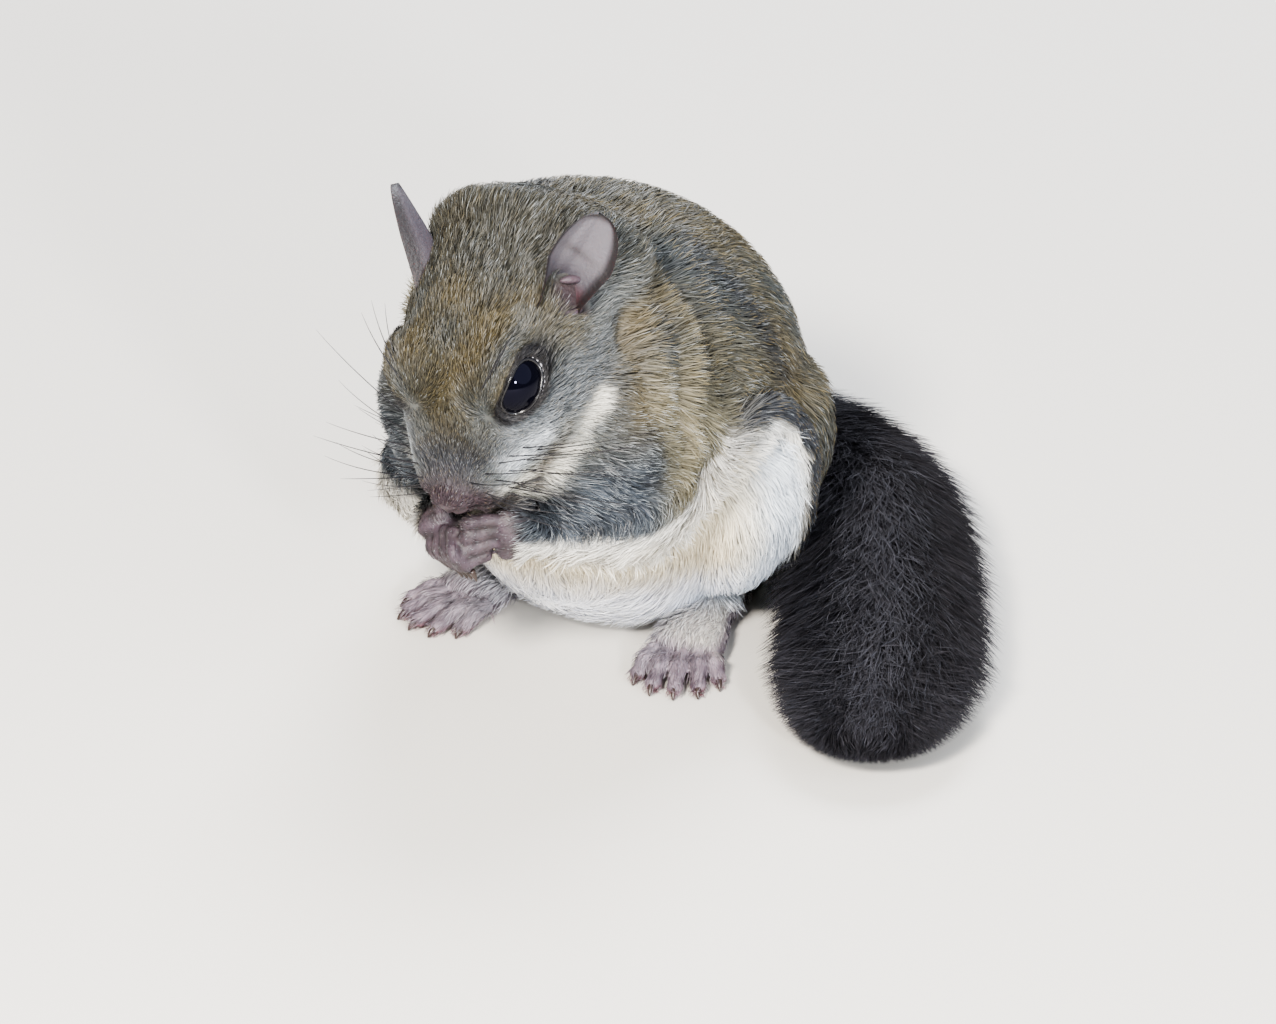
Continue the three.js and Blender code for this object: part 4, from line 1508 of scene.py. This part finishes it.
def blade_faces(count, stations):
    """Quads up each blade and a triangle at its tip."""
    per_blade = 2 * (stations - 1) + 1
    first = np.arange(count)[:, None] * per_blade
    quads = [first + 2 * i + np.array([0, 1, 3, 2]) for i in range(stations - 2)]
    tip = 2 * (stations - 2)
    return np.concatenate(quads), first + np.array([tip, tip + 1, tip + 2])


def blade_mesh(name, middles, sides, widths, colours, places):
    """Blades from their middle lines. middles is blade by station by xyz; sides and
    colours match it; the last station is the tip; places are on the unwrap."""
    count, stations, _ = middles.shape
    shape = widths * np.ones(stations - 1)
    half = sides[:, :-1] * (shape / 2)[..., None]
    pairs = np.stack([middles[:, :-1] - half, middles[:, :-1] + half], axis=2)
    points = np.concatenate([pairs.reshape(count, -1, 3), middles[:, -1:]], axis=1)
    points[..., 2] = np.maximum(points[..., 2], HAIR_FLOOR)
    quads, tips = blade_faces(count, stations)
    mesh = new_mesh(name, points.reshape(-1, 3), quads, tips)
    doubled = np.repeat(colours[:, :-1], 2, axis=1)
    paint(mesh, np.concatenate([doubled, colours[:, -1:]], axis=1).reshape(-1, 3))
    up = np.linspace(-0.5, 0.5, stations)
    across = np.tile([-0.5, 0.5], stations - 1)
    local = np.stack([across, np.repeat(up[:-1], 2)], axis=1)
    local = np.concatenate([local, [[0, 0.5]]]) * PATCH
    at = (places[:, None] + local).reshape(-1, 2)
    corners = np.concatenate([quads.ravel(), tips.ravel()])
    layer = mesh.uv_layers.new(name="OFBake")
    layer.data.foreach_set("uv", at[corners].astype(np.float32).ravel())
    return mesh


def sampled(fields, density):
    """Random roots over the skin, so many for each square mm, with the fields there."""
    points, triangles = fields["points"], fields["triangles"]
    a, b, c = (points[triangles[:, i]] for i in range(3))
    area = np.linalg.norm(np.cross(b - a, c - a), axis=1) / 2
    wanted = area * density[triangles].mean(axis=1) * QUICK_SHARE
    copies = np.floor(wanted + chance.random(len(wanted))).astype(int)
    rows = triangles[np.repeat(np.arange(len(triangles)), copies)]
    share = chance.random((len(rows), 2))
    over = share.sum(axis=1) > 1
    share[over] = 1 - share[over]
    corner = np.column_stack([1 - share.sum(axis=1), share])
    result = {}
    for key in ("points", "normals", "weights", "flow", "bend", "hair"):
        result[key] = np.einsum("ij,ijk->ik", corner, fields[key][rows])
    result["normals"] = unit(result["normals"])
    result["flow"] = laid_flat(result["flow"], result["normals"])
    result["place"] = fields["place"][rows[:, 0]]
    return result


def face_shortness(points):
    """Length of hair as a share: shortest on the nose and round the eyes."""
    local = to_head(points)
    share = 0.5 + 0.5 * step(local[:, 1], -21, 2) + 0.9 * step(local[:, 1], 2, 16)
    for left in (1, -1):
        past, away, _ = past_lids(points, left)
        close = step(-past, -38, -4) * (away < EYE_RADIUS + 5)
        share = share * (1 - 0.45 * close)
    return share


def bare(points):
    """True where no hair grows: the eye and its lids, the nostrils, the lips' line."""
    none = np.zeros(len(points), bool)
    local = to_head(points)
    for left in (1, -1):
        past, away, _ = past_lids(points, left)
        none |= (past < 1.0) & (away < EYE_RADIUS + 0.9)
        none |= away_from(nostril(left), local) < 1.1
        none |= ear_notch(local, left) < 1
    none |= mouth_distance(local) < 0.4
    none |= away_from(NOSE_AT + [0, -2.2, -0.6], local) < 1.5
    return none


def tuft_colours(colour, whiteness, plain, head):
    """Root to tip: slate at the root, the coat's colour, then a tip that is straw,
    silver, dark or plain by chance; the silver tips are partly pale hair and partly
    painted glints of light. White fur stays white, and plain coats have no straw.
    The head has more dark tips, which make it look grizzled."""
    count = len(colour)
    draw = chance.random(count)
    dark_coat = 1 - whiteness
    straw = (draw < STRAW_TIPS) * dark_coat * (1 - plain) * (1 - 0.35 * head)
    # silver tips: partly the coat's own pale grizzled tips, partly painted glints of light on the
    # hair; the arms have the most
    silver_from = SILVER_FROM + 0.05 * head - 0.18 * plain
    silver = (draw > silver_from) * dark_coat
    black = ((draw > BLACK_FROM - 0.1 * head) & (draw < silver_from)) * dark_coat
    tip = colour * 1.15
    tip = mix(tip, "#ab9663", 0.6 * straw)
    tip = mix(tip, "#c3cace", (0.6 + 0.2 * plain) * silver)
    tip = mix(tip, "#17181c", 0.6 * black)
    vary = 1 + chance.uniform(-0.42, 0.34, (count, 1)) * (0.35 + 0.65 * dark_coat[:, None])
    root = mix("#25272d", colour * 0.8, 0.2 + 0.75 * whiteness)
    middle = mix(root, colour, 0.65 - 0.2 * head)
    stages = [root, middle, colour, tip]
    return np.clip(np.stack([stage * vary for stage in stages], axis=1), 0, 1)


def grow_coat(fields):
    """Tufts all over the skin. A blade runs from its root along the hair's way,
    follows the skin's curve, and rises as D * (1 - (1 - t)^2) to the coat's depth D."""
    fine = np.minimum(face_shortness(fields["points"]), 1)
    head = share_of(fields, "head")
    density = fields["hair"][:, 3] * (1 + 0.5 * head * (1 - fine))
    density = density * (0.45 + 0.55 * step(fields["points"][:, 2], 0.5, 3))
    roots = sampled(fields, density)
    kept = ~bare(roots["points"])
    roots = {key: value[kept] for key, value in roots.items()}
    points, normals = roots["points"], roots["normals"]
    count = len(points)
    depth, length, width, _ = roots["hair"].T
    head = share_of(roots, "head")
    short = 1 + (face_shortness(points) - 1) * head
    length = length * short * chance.uniform(*LONG_BY_CHANCE, count)
    depth = depth * short * chance.uniform(*DEEP_BY_CHANCE, count)
    narrower = 0.7 + 0.3 * np.minimum(short, 1)
    width = width * narrower * chance.uniform(*WIDE_BY_CHANCE, count) * QUICK_WIDE
    sway = np.radians(SWAY * ripple(points, 5.5, 21) + STRAY * chance.normal(size=count))
    aside = np.cross(roots["flow"], normals)
    flow = roots["flow"] * np.cos(sway)[:, None] + aside * np.sin(sway)[:, None]
    side = np.cross(flow, normals)
    roll = np.radians(chance.uniform(-ROLL, ROLL, count))[:, None]
    side = side * np.cos(roll) + normals * np.sin(roll)
    t = BLADE_AT[None, :, None]
    run = length[:, None, None] * t
    rise = depth[:, None, None] * (1 - (1 - t) ** 2)
    drop = np.clip(roots["bend"], *BEND_LIMITS)[:, :, None] * run**2 / 2
    middles = points[:, None] - ROOT_SUNK * normals[:, None] + flow[:, None] * run
    middles = middles + normals[:, None] * (rise - np.minimum(drop, rise + 2.0))
    sides = np.broadcast_to(side[:, None], middles.shape)
    reach = (0.55 * length)[:, None] * flow + (0.6 * depth)[:, None] * normals
    colour, whiteness = marks(points + reach, roots)
    plain = share_of(roots, "arm", "tail", "hand", "foot")
    plain = plain + 0.55 * head * step(to_head(points)[:, 1], 1, 9)
    colours = tuft_colours(colour, whiteness, np.clip(plain, 0, 1), head)
    cell, share, angle = roots["place"].T
    places = unwrapped(cell.astype(int), share, angle)
    widths = width[:, None] * BLADE_WIDE
    group = np.array(GROUPS)[np.argmax(roots["weights"], axis=1)]
    slots = np.where(whiteness > 0.5, "white_fur", "back_fur")
    for word, slot in GROUP_SLOTS.items():
        slots = np.where(group == word, slot, slots)
    for slot, (stations, most) in COAT_SLOTS.items():
        chosen = np.flatnonzero(slots == slot)
        pieces = max(1, -(-len(chosen) // most))
        for number, part in enumerate(np.array_split(chosen, pieces), 1):
            name = f"coat_{slot}_{number}"
            at = np.ix_(part, stations)
            wide = widths[np.ix_(part, stations[:-1])]
            mesh = blade_mesh(name, middles[at], sides[at], wide, colours[at], places[part])
            new_piece(name, mesh, MATERIALS[slot])


BRUSH_AT = np.array([0, 0.25, 0.5, 0.75, 1.0])  # shares of a hair's length
BRUSH_WIDE = np.array([0.8, 1, 0.9, 0.6])  # shares of its width, before the tip
BRUSH_SWING = 0.26  # how far a hair swings round the tail by its tip, in radians
TAIL_CELL = 3  # the tail's place among the forms laid out


def grow_brush(name, count, start, long, lift, width, seed):
    """Long hairs of the tail. Each leaves its core at a share s of the tail's length
    and an angle a round it, and runs on to s + long while its distance from the
    middle line grows from the core's radius to the outline of the brush."""
    draw = np.random.default_rng(seed)
    count = int(count * QUICK_SHARE)
    share = start + (0.95 - start) * draw.random(count) ** 0.85
    angle = draw.uniform(0, 2 * np.pi, count)
    reach = draw.uniform(*lift, count)
    reach = np.where(share > 0.78, reach * draw.random(count) ** 0.4, reach)
    tip = 1 - TAIL["ends"][1] * (1 - np.sqrt(1 - np.minimum(reach / lift[1], 0.98) ** 2))
    share = np.minimum(share, tip - 0.03)
    run = np.minimum(long * draw.uniform(0.7, 1.15, count), tip - share)
    t = BRUSH_AT
    s = share[:, None] + run[:, None] * t
    start_out = TAIL_CORE * 0.8
    out = start_out + (reach[:, None] - start_out) * t**0.85
    swing = draw.normal(size=count)[:, None] * BRUSH_SWING * t
    a = angle[:, None] + swing
    flat_share = np.clip(s, 0, 1).ravel()
    middle, side, up, _, reaches = rings(TAIL, flat_share)
    fade = fading(TAIL, np.minimum(flat_share, 0.5))[:, None]
    wide, above, below = (reaches * fade).T
    a = a.ravel()
    rise = np.where(np.sin(a) > 0, above, below) * np.sin(a)
    offset = side * (wide * np.cos(a))[:, None] + up * rise[:, None]
    middles = (middle + offset * out.ravel()[:, None]).reshape(count, -1, 3)
    along = unit(np.gradient(middles, axis=1))
    sides = unit(np.cross(along, offset.reshape(count, -1, 3)))
    roll = np.radians(draw.uniform(-45, 45, count))[:, None, None]
    sides = sides * np.cos(roll) + np.cross(sides, along) * np.sin(roll)
    tone = draw.random(count)
    base = mix("#26252a", "#424147", tone)
    # painted sheen: a fifth of the hairs have pale blue-grey tips
    tip = mix(base, "#50545f", (draw.random(count) < 0.2) * 0.6)
    colours = np.stack([base * 0.6, base * 0.8, base, base * 1.1, tip], axis=1)
    places = unwrapped(np.full(count, TAIL_CELL), np.clip(share, 0, 1), angle)
    widths = (width * draw.uniform(*WIDE_BY_CHANCE, count))[:, None] * BRUSH_WIDE * QUICK_WIDE
    mesh = blade_mesh(name, middles, sides, widths, colours, places)
    new_piece(name, mesh, MATERIALS["tail_fur"])


# Ears, eyes, lids, claws and whiskers


def ball(centre, radius, rows=40, columns=64):
    """A ball: centre + radius * (sin t cos a, sin t sin a, cos t)."""
    t = np.linspace(0, np.pi, rows + 2)[1:-1]
    a = np.linspace(0, 2 * np.pi, columns, endpoint=False)
    t, a = (grid.ravel() for grid in np.meshgrid(t, a, indexing="ij"))
    way = np.stack([np.sin(t) * np.cos(a), np.sin(t) * np.sin(a), np.cos(t)], axis=1)
    ends = np.array([[0, 0, 1.0], [0, 0, -1.0]])
    return centre + radius * np.concatenate([way, ends]), *tube_faces(rows, columns)


def add_closed(name, made, material, replaced=(), colours=None):
    """A closed piece from points and face sets."""
    points, *faces = made
    mesh = new_mesh(name, points, *outward(points, *faces))
    if colours is not None:
        paint(mesh, colours)
    return new_piece(name, mesh, material, replaced)


LID_BEADS = 34


def lid_loop(left, past, radius, thick, bead=0.0):
    """A closed cord along the edge of the lids: at each angle round the eye it lies
    past the edge by some degrees, at a distance from the eye's middle, and beads make
    it thicker by their share, LID_BEADS times round."""
    rows, columns = 160, 10
    around = np.linspace(0, 2 * np.pi, rows, endpoint=False)
    axis, upright, forward = lid_axes(left)
    angle = np.radians(lid_edge(around) + past)
    radial = forward * np.cos(around)[:, None] + upright * np.sin(around)[:, None]
    out = axis * np.cos(angle)[:, None] + radial * np.sin(angle)[:, None]
    along = radial * np.cos(angle)[:, None] - axis * np.sin(angle)[:, None]
    turn = np.linspace(0, 2 * np.pi, columns, endpoint=False)
    size = thick * (1 + bead * np.sin(around * LID_BEADS))
    ring = out[:, None] * np.cos(turn)[:, None] + along[:, None] * np.sin(turn)[:, None]
    points = mirrored(EYE_AT, left) + (out * radius)[:, None] + ring * size[:, None, None]
    return from_head(points.reshape(-1, 3)), strip(rows, columns, closed=True), around


def ear_frame(left):
    """Across, facing and along the ear in the head's frame."""
    along = unit(mirrored(EAR_AXIS, left))
    facing = mirrored(EAR_FACING, left)
    facing = unit(facing - along * (facing @ along))
    return np.cross(facing, along), facing, along


def ear_notch(local, left):
    """How far points of the head's frame lie from the bare hollow that opens into the
    ear, in shares of its size."""
    deep = away_from(mirrored([11.5, 8.6, 6.3], left), local) / 2.9
    low = away_from(mirrored([12.7, 7.8, 4.6], left), local) / 1.7
    return np.minimum(deep, low)


def ear_shape(left, rows=44, columns=28):
    """A thin cup. At share s its half width is EAR_WIDE / 2 * oval(s), and it is
    cup(s) * (1 - x^2) deep at x across. Its rim is rolled a little forward."""
    share = -EAR_SUNK + (1 + EAR_SUNK) * np.sin(np.linspace(0, np.pi / 2, rows))
    clipped = np.maximum(share, 0)
    above = np.maximum(clipped - 0.42, 0) / 0.58
    below = np.maximum(0.42 - clipped, 0) / 0.42
    oval = np.sqrt(np.maximum(1 - (0.996 * above) ** 2, 0.004)) * (1 - 0.38 * below)
    half = EAR_WIDE / 2 * oval
    cup = 3.6 * (1 - clipped) ** 1.2 + 0.75
    x = np.cos(np.linspace(0, np.pi, columns))
    thick = 0.55 * (1 - x**6) + 0.12
    across = x * half[:, None]
    roll = 0.5 * np.abs(x) ** 8 * oval[:, None]
    vein = 0.18 * np.sin(x * 9) * (1 - x**2) * np.sin(np.pi * clipped)[:, None]
    inner = -cup[:, None] * (1 - x**2) + roll + vein
    outer = inner - thick * (0.3 + 0.7 * oval[:, None])
    tall = np.repeat((share * EAR_TALL)[:, None], columns, axis=1)
    front = np.stack([across, inner, tall], axis=2)
    back = np.stack([across, outer, tall], axis=2)[:, ::-1]
    local = np.concatenate([front, back], axis=1)
    points = local.reshape(-1, 3)
    ends = local[[0, -1]].mean(axis=1)
    axes = np.array(ear_frame(left))
    points = np.concatenate([points, ends]) @ axes + mirrored(EAR_AT, left)
    return (from_head(points), *tube_faces(rows, 2 * columns)), share, x


def ear_colours(share, x, count):
    """Mauve-grey skin, paler in the cup and darker at the rim, with painted shade deep
    in the notch and along a crease across the cup.
    """
    s = np.repeat(share[:, None], len(x), axis=1)
    across = np.repeat(x[None], len(share), axis=0)
    rim = step(np.abs(across), 0.74, 0.92) + step(s, 0.88, 0.98)
    front = mix("#47444a", "#5f5b61", step(s, 0.2, 0.5).ravel())
    # painted shade deep in the notch, below the ear's root
    front = mix(front, "#42282e", step(-s, -0.22, -0.02).ravel())
    # painted shade along a crease across the cup
    crease = bell(s - 0.5 - 0.12 * across, 0.05) * (1 - np.abs(across))
    front = mix(front, "#383234", 0.7 * crease.ravel())
    front = mix(front, "#161213", np.clip(rim, 0, 1).ravel() * 0.92)
    back = mix("#4b464d", "#2a2729", np.clip(rim, 0, 1).ravel())
    shape = (len(share), len(x), 3)
    both = np.concatenate([front.reshape(shape), back.reshape(shape)[:, ::-1]], axis=1)
    flat = both.reshape(-1, 3)
    return np.concatenate([flat, flat[[0, -1]]])[:count]


def ear_folds(left):
    """The two lobes beside the hollow of the ear: a pale flap behind it and a ridge
    along its lower front edge."""
    flap = [(10.8, 9.4, 8.2, 0.3, 0.4), (11.6, 10.3, 7.3, 0.55, 0.6), (12.4, 11.2, 5.8, 0.4, 0.4)]
    ridge = [(10.9, 6.4, 7.4, 0.3, 0.4), (12.0, 6.2, 5.6, 0.55, 0.6), (12.9, 7.6, 4.1, 0.45, 0.5)]
    shapes = []
    for rows in (flap, ridge):
        lobe = limb(in_head(rows, left), HEAD_TURN[:, 1], (0.35, 0.4))
        shapes.append(closed_form(lobe, 0, 24, 16))
    return joined(shapes)


def strands(paths, radii, sides):
    """Closed tapering rods along many paths at once. paths is rod by station by xyz;
    rings stand square to the path, and a flat end closes each rod."""
    count, stations, _ = paths.shape
    along = unit(np.gradient(paths, axis=1))
    first = unit(np.cross(along, np.array([0.3, 0.2, 1.0])))
    second = np.cross(along, first)
    turn = np.linspace(0, 2 * np.pi, sides, endpoint=False)
    cosine, sine = np.cos(turn)[:, None], np.sin(turn)[:, None]
    ring = first[:, :, None] * cosine + second[:, :, None] * sine
    points = paths[:, :, None] + ring * radii[..., None, None]
    starts = np.arange(count)[:, None] * stations * sides
    quads = starts[:, None] + strip(stations, sides)[:, [0, 3, 2, 1]]
    root = np.arange(sides)[::-1]
    tip = (stations - 1) * sides + np.arange(sides)
    ends = np.concatenate([starts + root, starts + tip])
    return points.reshape(-1, 3), quads.reshape(-1, 4), ends


def curved(root, way, long, sag, stations):
    """Paths root + way * long * t + sag * t^2."""
    t = np.linspace(0, 1, stations)[None, :, None]
    return root[:, None] + way[:, None] * long[:, None, None] * t + sag[:, None] * t**2


def claws():
    """Short curved claws at the end of each finger and toe."""
    found = []
    for left in (1, -1):
        for paths, share in ((finger_paths(left)[0], 0.8), (toe_paths(left)[0], 1.0)):
            for _, bend, tip in paths:
                way = unit(np.array(tip) - bend + [0, 0, 0.2])
                root = np.array(tip) + way * 0.25 + [0, 0, 0.15]
                found.append((root, way, CLAW_LONG * share, [0, 0, -0.75]))
    roots, ways, longs, sags = (np.array(part) for part in zip(*found))
    paths = curved(roots, ways, longs, sags, 9)
    paths[..., 2] = np.maximum(paths[..., 2], 0.25)
    taper = 0.5 * (1 - np.linspace(0, 1, 9)) ** 0.6 + 0.03
    return strands(paths, np.tile(taper, (len(roots), 1)), 8)


def whiskers():
    """Long thin whiskers from the upper lips that sweep back and hang a little, and a
    few over each eye and on the chin."""
    found = []
    draw = np.random.default_rng(31)
    for left in (1, -1):
        for row in range(4):
            for place in range(5):
                ahead = place / 4
                at = NOSE_AT + [left * (2.6 + 2.4 * ahead), 2.0 + 5.6 * ahead, 2.0 - 1.2 * row]
                way = [left * 0.95, -0.2 + 0.35 * ahead, 0.22 - 0.17 * row]
                way = np.array(way) + draw.normal(size=3) * 0.09
                long = draw.uniform(13, 25) * (0.8 + 0.3 * ahead)
                sag = [0, draw.uniform(1, 5), -draw.uniform(0.5, 3)]
                found.append((at, way, long, sag))
        for place in range(3):
            at = [left * (6.4 + 0.5 * place), -8.5 + 0.8 * place, 9.0 + 0.2 * place]
            way = [left * 0.5, 0.35 + 0.2 * place, 0.7]
            found.append((at, way, draw.uniform(7, 11), [0, 2.0, -1.2]))
    roots, ways, longs, sags = (np.array(part, float) for part in zip(*found))
    paths = from_head(curved(roots, unit(ways), longs, sags, 14))
    paths[..., 2] = np.maximum(paths[..., 2], 0.3)
    taper = 0.09 * (1 - np.linspace(0, 1, 14)) ** 0.7 + 0.014
    return strands(paths, np.tile(taper, (len(roots), 1)), 5)


# Materials, named for what they are


def marked(tree, shader):
    """Feeds the colour kept in "marks" to the shader."""
    attribute = add(tree, "ShaderNodeAttribute", attribute_name="marks")
    tree.links.new(attribute.outputs["Color"], shader.inputs["Base Color"])


def fur_material(name, roughness):
    """Hair, as it grows: its colour comes from the marks. The smoother it is, the more
    it shines along the tufts; white and charcoal hair is woolly and shines least."""
    material, tree, shader = new_material(name, roughness=roughness, specular_ior_level=0.4)
    marked(tree, shader)
    return material


def skin_material():
    """Bare skin of hands, feet, nose and ears: soft, a little moist, with fine
    wrinkles about half a millimetre apart; light passes a little way in."""
    material, tree, shader = new_material("bare_skin", roughness=0.52, specular_ior_level=0.42)
    marked(tree, shader)
    place = add(tree, "ShaderNodeTexCoord").outputs["Object"]
    noise = add(tree, "ShaderNodeTexNoise", {"Vector": place, "Scale": 1900.0, "Detail": 4.0})
    height = noise.outputs["Fac"]
    bump = add(tree, "ShaderNodeBump", {"Height": height, "Strength": 0.5, "Distance": 0.00025})
    tree.links.new(bump.outputs["Normal"], shader.inputs["Normal"])
    shader.inputs["Subsurface Weight"].default_value = 0.12
    shader.inputs["Subsurface Radius"].default_value = (1.0, 0.45, 0.35)
    shader.inputs["Subsurface Scale"].default_value = 0.0005
    return material


MATERIALS = {
    "back_fur": fur_material("grey_brown_fur", 0.5),
    "head_fur": fur_material("short_brown_fur", 0.5),
    "arm_fur": fur_material("blue_grey_fur", 0.42),
    "white_fur": fur_material("white_fur", 0.6),
    "tail_fur": fur_material("charcoal_fur", 0.75),
    "bare_skin": fur_material("fine_pale_hair", 0.55),
}
SKIN_MATERIAL = skin_material()
# the eyeball under its film of tears: black, with a sharp glint and a deep blue cast
EYE_MATERIAL = plain_material("wet_black_eye", "#05050c", roughness=0.03, specular_ior_level=0.24)
eye_shader = EYE_MATERIAL.node_tree.nodes["Principled BSDF"]
eye_shader.inputs["Specular Tint"].default_value = rgba("#b4b4d8")
# moist dark rim of the lids, and the beaded skin outside it, painted pale along the rear of the
# eye as a highlight
LID_MATERIAL = plain_material("moist_lid", "#121114", roughness=0.22)
RIM_MATERIAL = fur_material("beaded_lid", 0.3)
# horn that walking has worn smooth: a small soft glint
CLAW_MATERIAL = plain_material("dark_horn", "#3a2f2c", roughness=0.3)
# stiff black hair with a faint gloss along it
WHISKER_MATERIAL = plain_material("black_whisker", "#15141a", roughness=0.35)

# All pieces

fields = skin_fields(skin_mesh)
skin_colour, skin_white = marks(fields["points"], fields)
bare_share = share_of(fields, "hand", "foot")
head_share = share_of(fields, "head")
underfur = mix("#25272c", skin_colour, 0.3 + 0.2 * head_share + 0.4 * skin_white)
in_face = to_head(fields["points"])
naked = step(-in_face[:, 1], 15, 19)  # the snout, and round the eyes and in the ears
for left in (1, -1):
    naked = np.maximum(naked, eye_coordinates(fields["points"], left)[1] < 7)
    naked = np.maximum(naked, ear_notch(in_face, left) < 1.1)
shown = np.clip(bare_share + naked * head_share, 0, 1)
# painted shade: the bare skin of hands and feet is darker in its grooves, between fingers and
# toes
skin_colour = skin_colour * (1 - 0.6 * fields["hollow"] * bare_share)[:, None]
# its own colour where the skin is bare, and dark underfur where the coat covers it
paint(skin_mesh, mix(underfur, skin_colour, shown))
FLESH = [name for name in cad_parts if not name.startswith(("eye", "ear"))]
new_piece("skin", skin_mesh, SKIN_MATERIAL, FLESH)
grow_coat(fields)
# how many, where the first one roots, how far each runs, its lift, width and seed
grow_brush("tail_underfur", 22000, 0.0, 0.09, (0.7, 1.0), 0.26, 41)
grow_brush("tail_long_hair", 27000, 0.0, 0.13, (0.85, 1.14), 0.16, 42)
grow_brush("tail_fine_hair", 27000, 0.0, 0.11, (0.8, 1.08), 0.12, 43)
for left, word in SIDES:
    eye = from_head(mirrored(EYE_AT, left))
    add_closed("eyeball_" + word, ball(eye, EYE_RADIUS), EYE_MATERIAL, ["eye_" + word])
    points, quads, _ = lid_loop(left, 0.0, EYE_RADIUS + 0.08, 0.3)
    add_closed("lid_" + word, (points, quads), LID_MATERIAL)
    points, quads, around = lid_loop(left, 4.0, EYE_RADIUS + 0.3, 0.21, 0.2)
    # painted highlight: the beaded rim is pale along the rear of the eye and dark at its front
    lit = step(-np.cos(around - np.radians(-15)), -0.2, 0.8)
    tint = mix("#232124", "#b4b2b8", np.repeat(lit, len(points) // len(lit)))
    add_closed("lid_rim_" + word, (points, quads), RIM_MATERIAL, (), tint)
    shape, share, x = ear_shape(left)
    colours = ear_colours(share, x, len(shape[0]))
    add_closed("ear_cup_" + word, shape, SKIN_MATERIAL, ["ear_" + word], colours)
    folds = ear_folds(left)
    tint = np.tile(linear("#4d4148"), (len(folds[0]), 1))
    add_closed("ear_folds_" + word, folds, SKIN_MATERIAL, (), tint)
add_closed("claws", claws(), CLAW_MATERIAL)
add_closed("whiskers", whiskers(), WHISKER_MATERIAL)
